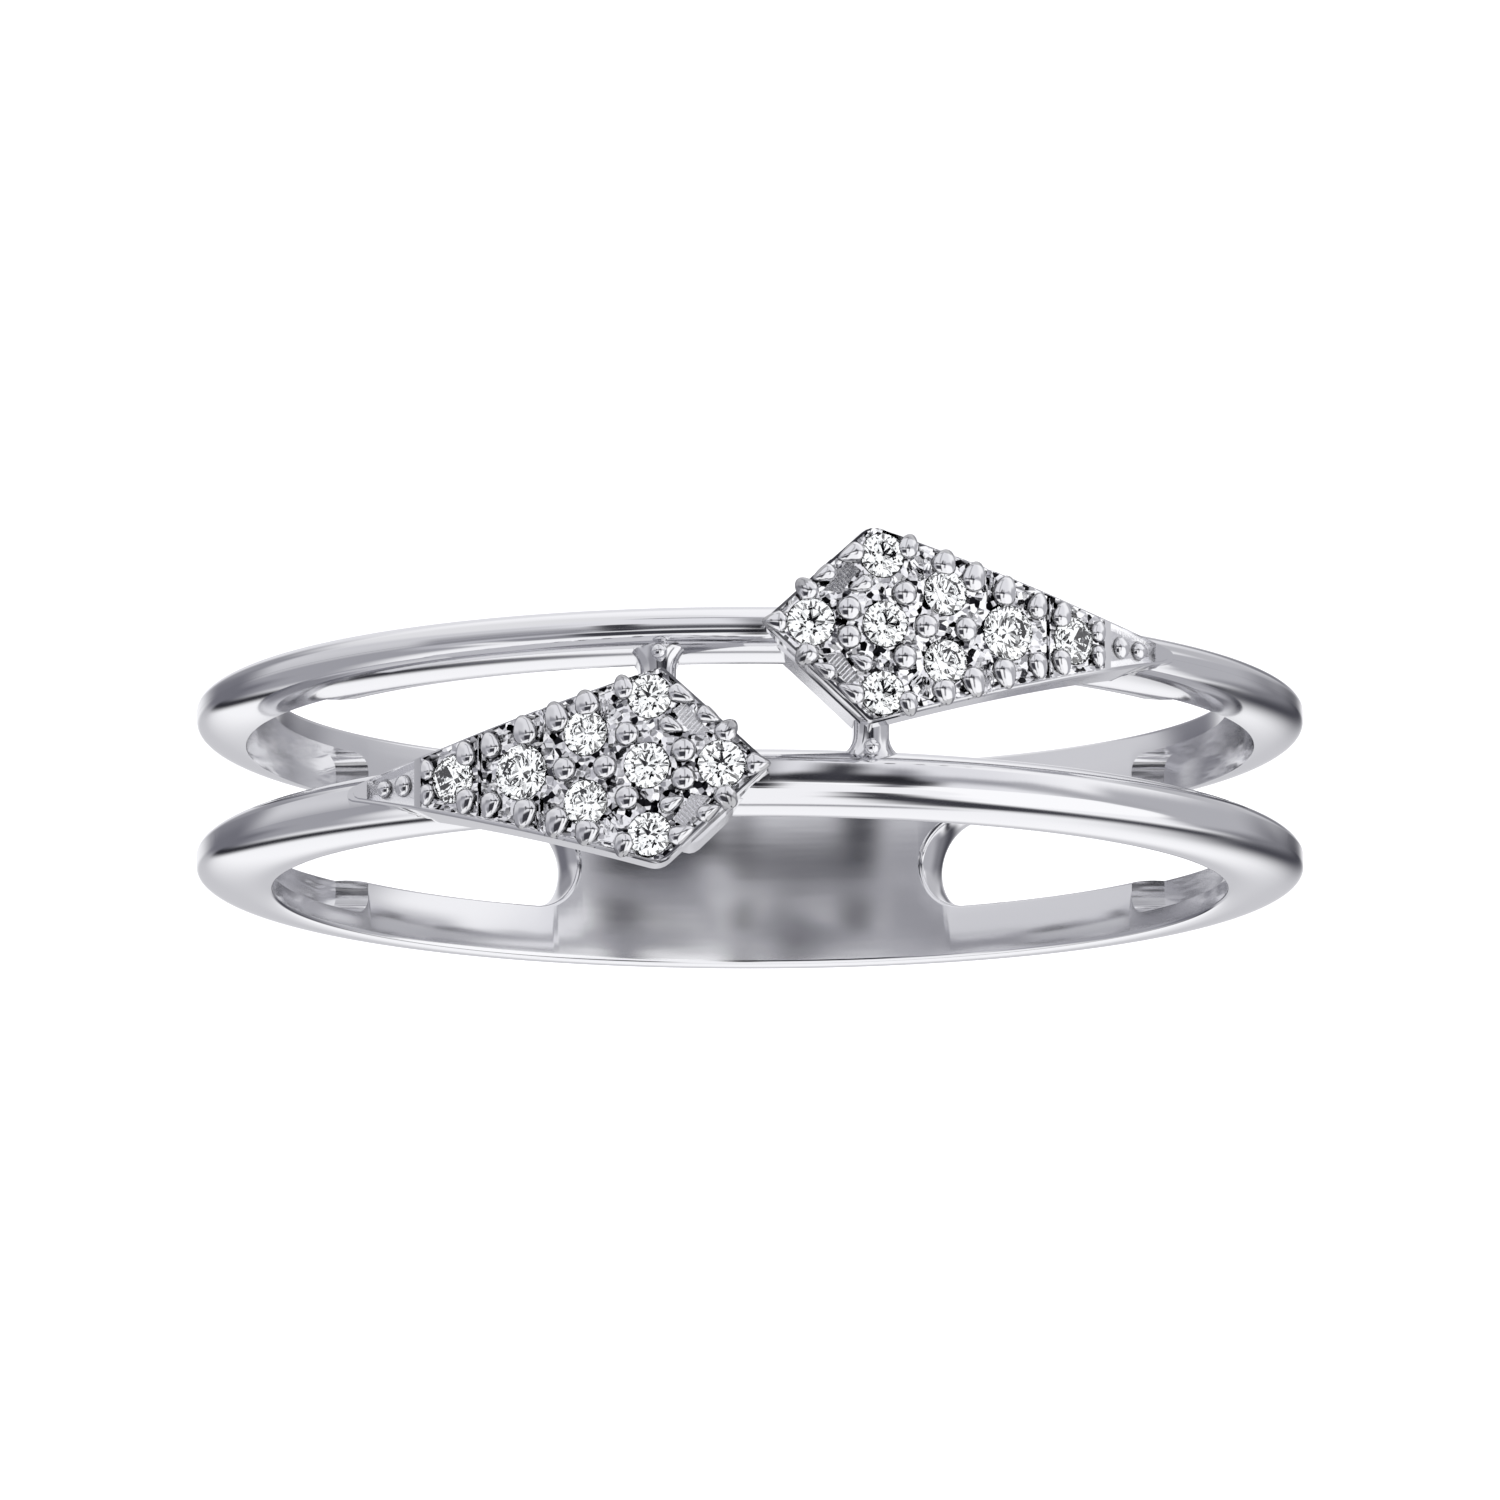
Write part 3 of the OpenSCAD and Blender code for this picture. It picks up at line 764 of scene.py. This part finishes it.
def seat_cutter(sizes, stone, cut_metal):
    """Round seat of a stone, open at the face and tapered below its girdle."""
    place, x, s, d = stone
    d *= MM
    radius = d / 2 + sizes.seat_gap
    shelf = -sizes.girdle_drop - d * GIRDLE_SHARE / 2 - sizes.seat_gap
    mouth = radius + sizes.seat_flare
    profile = [(d * SEAT_POINT, shelf - d * (PAVILION_SHARE - SEAT_SHORT)), (radius, shelf),
               (radius, -sizes.girdle_drop), (mouth, 0), (mouth, PAST)]
    return lathe(place, profile, SMALL_STEPS, on_face(sizes, x * MM, s * MM), cut_metal)


def room_cutter(sizes, stone, cut_metal):
    """Room that a bead leaves round a stone's girdle and crown."""
    place, x, s, d = stone
    d *= MM
    radius = d / 2 + sizes.seat_gap
    girdle = d * GIRDLE_SHARE / 2
    profile = [(radius, -girdle - sizes.seat_gap), (radius, girdle),
               (d * TABLE_SHARE / 2 + sizes.seat_gap, girdle + d * CROWN_SHARE + sizes.seat_gap)]
    face = on_face(sizes, x * MM, s * MM) @ Matrix.Translation((0, 0, -sizes.girdle_drop))
    return lathe(place, profile, SMALL_STEPS, face, cut_metal)


def graver_cutters(sizes, cut_metal):
    """V-shaped cuts across the kite between its stones."""
    half, deep = sizes.graver_width / 2, sizes.graver_depth
    outline = [(0, -deep), (half, 0), (half, PAST), (-half, PAST), (-half, 0)]
    cuts = []
    for x, near, far in GRAVER_CUTS:
        for side in (-1, 1):
            across = Matrix.Rotation(math.pi / 2, 4, "X")
            place = on_face(sizes, x * MM, 0) @ across
            ends = sorted((-side * near * MM, -side * far * MM))
            cuts.append(prism("graver_cut", outline, ends[0], ends[1], place, cut_metal))
    return cuts


def pocket_cutters(sizes, scraped):
    """The scraped pockets beside the blunt stone."""
    pockets = []
    for side in (-1, 1):
        outline = [(x * MM, side * s * MM) for x, s in POCKET]
        pocket = prism("pocket", outline, 0, sizes.top_radius + PAST, forwards(sizes), scraped)
        floor = face_disc("pocket_floor", sizes, sizes.pocket_depth, scraped)
        pockets.append(combine(pocket, [floor], "DIFFERENCE"))
    return pockets


def outwards(sizes, x):
    """Angle from the kite's axis at which the edge beside a place faces outwards."""
    if x < sizes.wide_at:
        return math.pi / 2 + math.atan2(sizes.wide / 2, sizes.wide_at)
    return math.pi / 2 - math.atan2(sizes.wide / 2, sizes.long - sizes.wide_at)


def repeat_tree(name, shape):
    """A node group that sets a shape on every point, turned and sized by the points' own attributes."""
    tree = bpy.data.node_groups.new(name, "GeometryNodeTree")
    for label, kind in (("Points", "Geometry"), ("Steps", "Int"), ("Drawn", "Float"), ("Narrow", "Float"),
                        ("Metal", "Material")):
        tree.interface.new_socket(label, in_out="INPUT", socket_type="NodeSocket" + kind)
    tree.interface.new_socket("Shapes", in_out="OUTPUT", socket_type="NodeSocketGeometry")
    given = add_node(tree, "NodeGroupInput").outputs
    written = {}
    for label, kind in (("facing", "QUATERNION"), ("size", "FLOAT_VECTOR")):
        written[label] = add_node(tree, "GeometryNodeInputNamedAttribute", {"data_type": kind}, {
            "Name": label}).outputs["Attribute"]
    copies = add_node(tree, "GeometryNodeInstanceOnPoints", inputs={
        "Points": given["Points"], "Instance": shape(tree, given), "Rotation": written["facing"],
        "Scale": written["size"]})
    real = add_node(tree, "GeometryNodeRealizeInstances", inputs={"Geometry": copies.outputs[0]})
    done = add_node(tree, "GeometryNodeSetMaterial", inputs={
        "Geometry": real.outputs[0], "Material": given["Metal"]})
    add_node(tree, "NodeGroupOutput", inputs={"Shapes": done.outputs[0]})
    return tree


def bead_shape(tree, given):
    """A ball of radius 1 whose +X end is drawn out and narrowed."""
    times = {"operation": "MULTIPLY"}
    whole = add_node(tree, "GeometryNodeMeshUVSphere", inputs={
        "Segments": given["Steps"], "Rings": given["Steps"]})
    place = add_node(tree, "GeometryNodeInputPosition")
    split = add_node(tree, "ShaderNodeSeparateXYZ", inputs={0: place.outputs[0]})
    front = add_node(tree, "ShaderNodeMath", {"operation": "MAXIMUM"}, {0: split.outputs["X"], 1: 0.0})
    pull = add_node(tree, "ShaderNodeMath", times, {0: front.outputs[0], 1: given["Drawn"]})
    squeeze = add_node(tree, "ShaderNodeMath", times, {0: front.outputs[0], 1: given["Narrow"]})
    side = add_node(tree, "ShaderNodeMath", times, {0: squeeze.outputs[0], 1: split.outputs["Y"]})
    inwards = add_node(tree, "ShaderNodeMath", times, {0: side.outputs[0], 1: -1.0})
    shift = add_node(tree, "ShaderNodeCombineXYZ", inputs={"X": pull.outputs[0], "Y": inwards.outputs[0]})
    return add_node(tree, "GeometryNodeSetPosition", inputs={
        "Geometry": whole.outputs["Mesh"], "Offset": shift.outputs[0]}).outputs[0]


def line_shape(tree, given):
    """A three-sided bar along X, of length 1 and radius 1, with one edge down."""
    bar = add_node(tree, "GeometryNodeMeshCylinder", inputs={
        "Vertices": given["Steps"], "Radius": 1.0, "Depth": 1.0})
    return add_node(tree, "GeometryNodeTransform", inputs={
        "Geometry": bar.outputs["Mesh"], "Rotation": (0, math.pi / 2, 0)}).outputs[0]


def repeat(name, tree, spots, steps, metal, drawn=0.0, narrow=0.0):
    """Sets a tree's shape on spots (place, size) and returns it as a plain mesh object."""
    mesh = bpy.data.meshes.new(name)
    mesh.from_pydata([place.translation for place, _ in spots], [], [])
    facing = mesh.attributes.new("facing", "QUATERNION", "POINT")
    facing.data.foreach_set("value", [part for place, _ in spots for part in place.to_quaternion()])
    size = mesh.attributes.new("size", "FLOAT_VECTOR", "POINT")
    size.data.foreach_set("vector", [part for _, radii in spots for part in radii])
    obj = linked(name, mesh)
    modifier = obj.modifiers.new(name, "NODES")
    modifier.node_group = tree
    sockets = {item.name: item.identifier for item in tree.interface.items_tree if item.in_out == "INPUT"}
    for key, value in (("Steps", steps), ("Drawn", drawn), ("Narrow", narrow), ("Metal", metal)):
        modifier[sockets[key]] = value
    settle(obj)
    return obj


def both_sides(table):
    """Every place of a table of (along, across, ...), also on the other side of the axis."""
    return [(x, side * s, side, more) for x, s, *more in table for side in ((1, -1) if s else (0,))]


def bead_way(sizes, x, side, way):
    """Angle from the kite's axis at which a bead's drawn-out end points."""
    if way == "edge":
        return side * outwards(sizes, x)
    if way == "blunt":
        return side * BLUNT_WAY if side else math.pi
    return 0


def beads(sizes, metal):
    """Every bead of a kite: round ones between stones and at the sharp tip, drawn-out ones at the edges."""
    tree = repeat_tree("beads", bead_shape)
    made = []
    for name, drawn, narrow, way, table in BEADS:
        spots = []
        for x, s, side, (half_length, half_width) in both_sides(table):
            turned = Matrix.Rotation(bead_way(sizes, x * MM, side, way), 4, "Z")
            place = on_face(sizes, x * MM, s * MM) @ turned @ Matrix.Translation((0, 0, -sizes.bead_sink))
            spots.append((place, (half_length * MM, half_width * MM, sizes.bead_height)))
        made.append(repeat(name, tree, spots, BEAD_STEPS, metal, drawn, narrow))
    bpy.data.node_groups.remove(tree)
    return made


def fine_lines(sizes, scraped):
    """The fine parallel lines that the graver leaves in the pockets and cuts."""
    tree = repeat_tree("graver_lines", line_shape)
    spots = []
    for x, s, side, (long, count, depth, run) in both_sides(LINE_ROWS):
        swing = side * (outwards(sizes, 0) if run == "short" else math.pi / 2)
        row = on_face(sizes, x * MM, s * MM) @ Matrix.Rotation(swing, 4, "Z")
        for k in range(count):
            off = (k - (count - 1) / 2) * LINE_SPACING * sizes.line_width
            place = row @ Matrix.Translation((0, off, -depth * MM)) @ Matrix.Rotation(math.pi / 2, 4, "X")
            spots.append((place, (long * MM, sizes.line_width / 2, sizes.line_depth)))
    lines = repeat("graver_lines", tree, spots, 3, scraped)
    bpy.data.node_groups.remove(tree)
    return [lines]


def placed(objects, place):
    """Carries solids to a place in the frame, in their meshes."""
    for obj in objects:
        obj.data.transform(place)
    return objects


def cast_metal(bands, kites, metals):
    """The whole casting: shank, bands, kites, bridges and beads in one skin."""
    metal, cut_metal, scraped = metals["polished"], metals["graver_cut"], metals["scraped"]
    body = whole_ring(bands, metal)
    combine(body, [slot_cutter(bands, metal)], "DIFFERENCE")
    combine(body, [hollow_cutter(bands, metals["tumbled"])], "DIFFERENCE")
    places = {kite: kite_place(kite, kites, bands.lean) for kite in FIELD_SEEDS}
    middle = (bands.ring_width + bands.slot_width) / 4
    reach = 2 * kites.wide
    back = bands.finger_radius + kites.set_back
    for place in places.values():
        for part in placed([kite_wall(kites, metal), kite_plate(kites, bands, metal),
                            kite_bridge(kites, bands, metal)], place):
            combine(part, [about_finger("finger", bands.finger_radius + CLEAR, reach, metal)], "DIFFERENCE")
            # Outside the middle of each band the part stands a little back from the finger hole
            combine(part, [about_finger("finger_side", back, reach, metal, side * (middle + reach))
                           for side in (-1, 1)], "DIFFERENCE")
            combine(body, [part], "UNION")
    for kite, place in places.items():
        field = field_cutter("field", kites, -kites.overlap, kites.recess_end, kites.recess, kites.chatter,
                             FIELD_SEEDS[kite], cut_metal)
        scoop = field_cutter("scoop", kites, kites.scoop_start, kites.scoop_end, kites.scoop_depth, 0, 0,
                             scraped)
        seats = [seat_cutter(kites, stone, cut_metal) for stone in STONES]
        for cutters in ([field], [scoop], seats, graver_cutters(kites, cut_metal),
                        pocket_cutters(kites, scraped), fine_lines(kites, scraped)):
            combine(body, placed(cutters, place), "DIFFERENCE")
        for standing in placed(beads(kites, metals["burnished_bead"]), place):
            combine(body, [standing], "UNION")
        rooms = [room_cutter(kites, stone, cut_metal) for stone in STONES]
        combine(body, placed(rooms, place), "DIFFERENCE")
    body.name = "cast_metal"
    return body


def mark_depth(obj, sizes, lean):
    """Writes down how many millimetres below a kite's face every vertex near its stones lies, which sets the
    painted shade.
    """
    axis = face_axis(sizes)
    ways = [kite_place(kite, sizes, lean).inverted() for kite in FIELD_SEEDS]
    depths = []
    for vertex in obj.data.vertices:
        depth = 0
        for way in ways:
            here = way @ vertex.co
            inside = field_half_width(sizes, here.x) > abs(here.z - sizes.axis_height)
            below = sizes.face_radius - math.hypot(here.x - axis.x, here.y - axis.y)
            if here.y < 0 and inside and below < sizes.plate:
                depth = below / MM
        depths.append(depth)
    marked = obj.data.attributes.new("depth", "FLOAT", "POINT")
    marked.data.foreach_set("value", depths)


def buff_inside(obj, sizes, buffed):
    """Gives the wall of the finger hole its own finish."""
    obj.data.materials.append(buffed)
    index = len(obj.data.materials) - 1
    for face in obj.data.polygons:
        if abs(math.hypot(face.center.x, face.center.y) - sizes.finger_radius) < CLEAR:
            face.material_index = index


def shade_metal(obj, cut_metal):
    """Smooth shading that breaks at sharp edges, and at every facet that the graver cut."""
    mesh = obj.data
    mesh.shade_smooth()
    facets = {i for i, material in enumerate(mesh.materials) if material == cut_metal}
    work = bmesh.new()
    work.from_mesh(mesh)
    for edge in work.edges:
        cut = all(face.material_index in facets for face in edge.link_faces)
        edge.smooth = edge.calc_face_angle(math.pi) < (CUT_CREASE if cut else CREASE)
    work.to_mesh(mesh)
    work.free()
    # Large faces decide the shading where they run into small rounded edges
    weighted = obj.modifiers.new("weighted", "WEIGHTED_NORMAL")
    weighted.keep_sharp = True
    settle(obj)


def new_material(name):
    """A material with an empty node tree, and that tree."""
    material = bpy.data.materials.new(name)
    material.use_nodes = True
    material.node_tree.nodes.clear()
    return material, material.node_tree


def tiny_mirrors(tree, place, normal, tone, black):
    """Patchwork of tiny mirrors that each lean their own way, so that some flash; a share of them is painted
    black, a painted reflection of the dark room.
    """
    cells = add_node(tree, "ShaderNodeTexVoronoi", inputs={"Vector": place, "Scale": 1 / MIRROR_WIDTH})
    off = add_node(tree, "ShaderNodeVectorMath", {"operation": "SUBTRACT"}, {
        0: cells.outputs["Color"], 1: (0.5, 0.5, 0.5)})
    tilt = add_node(tree, "ShaderNodeVectorMath", {"operation": "SCALE"}, {
        0: off.outputs[0], "Scale": FACET_TILT})
    tilted = add_node(tree, "ShaderNodeVectorMath", {"operation": "ADD"}, {0: normal, 1: tilt.outputs[0]})
    leaning = add_node(tree, "ShaderNodeVectorMath", {"operation": "NORMALIZE"}, {0: tilted.outputs[0]})
    luck = add_node(tree, "ShaderNodeSeparateColor", inputs={"Color": cells.outputs["Color"]})
    # Painted reflection: a share of the cells is painted black in the base colour
    shown = add_node(tree, "ShaderNodeValToRGB", inputs={"Fac": luck.outputs["Red"]})
    shown.color_ramp.interpolation = "CONSTANT"
    ramp = shown.color_ramp.elements
    ramp[0].color, ramp[1].color = black, tone
    ramp[1].position = PAINTED_BLACK_SHARE
    return leaning.outputs[0], shown.outputs["Color"]


def paint_shade(tree, tone, black, start, full):
    """Painted shade: a dark line round every stone and bead, painted darker the deeper the metal lies below
    the kite's face.
    """
    depth = add_node(tree, "ShaderNodeAttribute", {"attribute_name": "depth"})
    deep = add_node(tree, "ShaderNodeMapRange", inputs={
        "Value": depth.outputs["Fac"], "From Min": start, "From Max": full})
    painted_shade_mix = add_node(tree, "ShaderNodeMix", {"data_type": "RGBA"}, {
        "Factor": deep.outputs["Result"], "A": tone, "B": black})
    return painted_shade_mix.outputs["Result"]


def metal_material(finish, kind):
    """White gold in one of its finishes, whose gloss and surface wander a little."""
    tone_name, gloss_name, smear_size, smear_amount, wave_size, wave_height, squeezed = FINISHES[kind]
    tone = (*getattr(finish, tone_name), 1)
    # Black for the painted shade and for the tiny mirrors painted black
    black = (*finish.painted_black, 1)
    smoothest = getattr(finish, gloss_name)
    material, tree = new_material(f"{kind}_white_gold")
    place = add_node(tree, "ShaderNodeTexCoord").outputs["Object"]
    spread = add_node(tree, "ShaderNodeVectorMath", {"operation": "MULTIPLY"}, {0: place, 1: squeezed})
    # Hand polishing leaves cloudy patches that mirror a little softer than the rest
    smear = add_node(tree, "ShaderNodeTexNoise", inputs={
        "Vector": spread.outputs[0], "Scale": 1 / (smear_size * MM), "Detail": SMEAR_DETAIL,
        "Roughness": SMEAR_ROUGHNESS})
    cloudy = add_node(tree, "ShaderNodeMapRange", inputs={
        "Value": smear.outputs["Fac"], "From Min": SMEAR_SPAN[0], "From Max": SMEAR_SPAN[1],
        "To Min": smoothest, "To Max": smoothest + smear_amount})
    # Low waves from the buff make long reflections run slightly uneven
    wave = add_node(tree, "ShaderNodeTexNoise", inputs={
        "Vector": spread.outputs[0], "Scale": 1 / (wave_size * MM), "Detail": WAVE_DETAIL})
    relief = add_node(tree, "ShaderNodeBump", inputs={
        "Strength": 1.0, "Distance": wave_height * MM, "Height": wave.outputs["Fac"]})
    normal = relief.outputs["Normal"]
    # Tiny mirrors, a share of them painted black as a painted reflection of the dark room
    if kind == "graver_cut":
        normal, tone = tiny_mirrors(tree, place, normal, tone, black)
    # Painted shade: the colour darkens the deeper the metal lies below the kite's face
    if kind in PAINTED_SHADE_DEPTHS:
        tone = paint_shade(tree, tone, black, *PAINTED_SHADE_DEPTHS[kind])
    shader = add_node(tree, "ShaderNodeBsdfPrincipled", inputs={
        "Base Color": tone, "Metallic": 1.0, "Roughness": cloudy.outputs["Result"], "Normal": normal})
    add_node(tree, "ShaderNodeOutputMaterial", inputs={"Surface": shader.outputs[0]})
    return material


def diamond_material(finish):
    """Brilliant-cut diamond: clear, with strong inner reflections off its facets."""
    material, tree = new_material("brilliant_cut_diamond")
    shader = add_node(tree, "ShaderNodeBsdfPrincipled", inputs={
        "Base Color": (*finish.diamond, 1), "Roughness": 0.0, "IOR": DIAMOND_IOR,
        "Transmission Weight": 1.0})
    add_node(tree, "ShaderNodeOutputMaterial", inputs={"Surface": shader.outputs[0]})
    return material


def paper_material(studio):
    """White paper lit from below, so that only a faint shadow stays on it."""
    material, tree = new_material("lit_white_paper")
    glow = add_node(tree, "ShaderNodeEmission", inputs={
        "Color": (*linear(WHITE), 1), "Strength": studio.floor_glow})
    matt = add_node(tree, "ShaderNodeBsdfDiffuse", inputs={"Color": (*linear(PAPER), 1)})
    both = add_node(tree, "ShaderNodeAddShader", inputs={0: glow.outputs[0], 1: matt.outputs[0]})
    add_node(tree, "ShaderNodeOutputMaterial", inputs={"Surface": both.outputs[0]})
    return material


def light_material(name, strength):
    """A wall of the studio, which glows in the tone written on it."""
    material, tree = new_material(name)
    tone = add_node(tree, "ShaderNodeAttribute", {"attribute_name": "studio_tone"})
    glow = add_node(tree, "ShaderNodeEmission", inputs={
        "Color": tone.outputs["Color"], "Strength": strength})
    add_node(tree, "ShaderNodeOutputMaterial", inputs={"Surface": glow.outputs[0]})
    material.cycles.emission_sampling = "NONE"
    return material


def cover(distance, half, soft):
    """How far a card covers a direction: 1 inside it and 0 outside, eased over its soft edge."""
    share = min(1, max(0, (half - distance) / soft + 0.5))
    return share * share * (3 - 2 * share)


def towards(azimuth, elevation):
    """The unit vector of a studio direction, given in degrees."""
    a, e = math.radians(azimuth), math.radians(elevation)
    return Vector((-math.sin(a) * math.cos(e), -math.cos(a) * math.cos(e), -math.sin(e)))


def from_bar(way, start, end):
    """Angle in degrees between a direction and the nearest place of a bar."""
    along = end - start
    share = min(1, max(0, (way - start).dot(along) / along.length_squared))
    return math.degrees(way.angle(start + along * share))


def studio_tone(azimuth, elevation, tent, cards, bars):
    """The linear colour of a tent with cards and bars in one direction."""
    tone = Vector(linear(tent))
    for _, across, up, half_width, half_height, soft, slant, hex_colour in cards:
        off = (azimuth - across - slant * (elevation - up) + 180) % 360 - 180
        share = cover(abs(off), half_width, soft) * cover(abs(elevation - up), half_height, soft)
        if share:
            tone = tone.lerp(Vector(linear(hex_colour)), share)
    way = towards(azimuth, elevation)
    for _, a0, e0, a1, e1, half, soft, hex_colour in bars:
        share = cover(from_bar(way, towards(a0, e0), towards(a1, e1)), half, soft)
        if share:
            tone = tone.lerp(Vector(linear(hex_colour)), share)
    return tone


def studio_dome(name, strength, tones_of):
    """A dome that glows with the tones of (tent, cards, bars) and that the camera doesn't see."""
    rings = DOME_STEPS // 2
    places = [(360 * i / DOME_STEPS - 180, 180 * j / rings - 90)
              for j in range(1, rings) for i in range(DOME_STEPS)]
    places += [(0, -90), (0, 90)]
    points = [towards(*place) * DOME_RADIUS for place in places]
    faces = skin(rings - 1, DOME_STEPS)
    low, high = len(points) - 2, len(points) - 1
    last = (rings - 2) * DOME_STEPS
    for i in range(DOME_STEPS):
        j = (i + 1) % DOME_STEPS
        faces += [(low, i, j), (high, last + i, last + j)]
    dome = solid(name, points, faces, light_material(name, strength))
    tones = dome.data.color_attributes.new("studio_tone", "FLOAT_COLOR", "POINT")
    for item, place in zip(tones.data, places):
        item.color = (*studio_tone(*place, *tones_of), 1)
    dome.visible_camera = False
    return dome


def white_world():
    """Plain white, for what the camera sees past the floor."""
    world = bpy.data.worlds.new("white")
    world.use_nodes = True
    world.node_tree.nodes["Background"].inputs["Color"].default_value = (*linear(WHITE), 1)
    world.cycles.sampling_method = "NONE"
    return world


def place_camera(scene, studio):
    """The camera looks at the kites from the front, with the picture's up running down the finger's axis."""
    s, c = math.sin(studio.elevation), math.cos(studio.elevation)
    right, up, back = Vector((-1, 0, 0)), Vector((0, -s, -c)), Vector((0, -c, s))
    aim = up * studio.aim_offset
    data = bpy.data.cameras.new("camera")
    data.sensor_width = SENSOR_WIDTH
    data.lens = SENSOR_WIDTH * studio.distance / studio.picture_width
    data.clip_start, data.clip_end = SIGHT
    camera = linked("camera", data)
    turned = Matrix((right, up, back)).transposed().to_4x4()
    camera.matrix_world = Matrix.Translation(aim + back * studio.distance) @ turned
    scene.camera = camera


class RING_OT_cast_metal(bpy.types.Operator):
    """Builds the cast metal of the ring and puts it in place of the frame's plain metal"""
    bl_idname = "ring.cast_metal"
    bl_label = "Cast Metal"

    def execute(self, context):
        bands, kites, finish = context.scene.ring_bands, context.scene.ring_kites, context.scene.ring_finish
        metals = {kind: metal_material(finish, kind) for kind in FINISHES}
        body = cast_metal(bands, kites, metals)
        mark_depth(body, kites, bands.lean)
        buff_inside(body, bands, metals["buffed"])
        shade_metal(body, metals["graver_cut"])
        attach(body, "root")
        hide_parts("ring_body")
        return {"FINISHED"}


class RING_OT_stones(bpy.types.Operator):
    """Gives the sixteen stones their finish"""
    bl_idname = "ring.stones"
    bl_label = "Stones"

    def execute(self, context):
        diamond = diamond_material(context.scene.ring_finish)
        for name, node in frame["nodes"].items():
            if name.endswith("_stone"):
                node.data.materials.clear()
                node.data.materials.append(diamond)
        return {"FINISHED"}


class RING_OT_studio(bpy.types.Operator):
    """Builds the camera, the floor and the light"""
    bl_idname = "ring.studio"
    bl_label = "Studio"

    def execute(self, context):
        studio = context.scene.ring_studio
        place_camera(context.scene, studio)
        paper = paper_material(studio)
        low = CAD_BOX[0].z
        down = Matrix.Translation((0, 0, low - FLOOR_THICKNESS))
        floor = disc("floor", FLOOR_RADIUS, FLOOR_THICKNESS, FLOOR_STEPS, down, paper)
        floor.visible_glossy = False
        floor.visible_transmission = False
        around_metal = studio_dome("lights_around_metal", studio.light, (TENT, CARDS, BARS))
        around_metal.visible_transmission = False
        around_stones = studio_dome("lights_around_stones", studio.stone_light, (WHITE, [], STONE_BARS))
        around_stones.visible_glossy = False
        around_stones.visible_diffuse = False
        context.scene.world = white_world()
        context.scene.view_settings.view_transform = "Standard"
        return {"FINISHED"}


class RING_PT_panel(bpy.types.Panel):
    """Lists what builds the ring, with its sizes"""
    bl_idname = "RING_PT_panel"
    bl_label = "Stacking Ring"
    bl_space_type = "VIEW_3D"
    bl_region_type = "UI"
    bl_category = "Ring"

    def draw(self, context):
        layout = self.layout
        for group, operator in (("ring_bands", None), ("ring_kites", "ring.cast_metal"),
                                ("ring_finish", "ring.stones"), ("ring_studio", "ring.studio")):
            box = layout.box()
            settings = getattr(context.scene, group)
            for key in settings.bl_rna.properties.keys():
                if key not in ("rna_type", "name"):
                    box.prop(settings, key)
            if operator:
                box.operator(operator)


GROUPS = {
    "ring_bands": RingBandSizes,
    "ring_kites": RingKiteSizes,
    "ring_finish": RingFinish,
    "ring_studio": RingStudio,
}
CLASSES = [*GROUPS.values(), RING_OT_cast_metal, RING_OT_stones, RING_OT_studio, RING_PT_panel]


def register():
    """Registers the classes and gives the scene their settings."""
    for cls in CLASSES:
        bpy.utils.register_class(cls)
    for name, group in GROUPS.items():
        setattr(bpy.types.Scene, name, PointerProperty(type=group))


def unregister():
    """Undoes register."""
    for name in GROUPS:
        delattr(bpy.types.Scene, name)
    for cls in reversed(CLASSES):
        bpy.utils.unregister_class(cls)


def main():
    """Builds everything."""
    register()
    bpy.ops.ring.studio()
    bpy.ops.ring.cast_metal()
    bpy.ops.ring.stones()


if __name__ == "__main__":
    main()
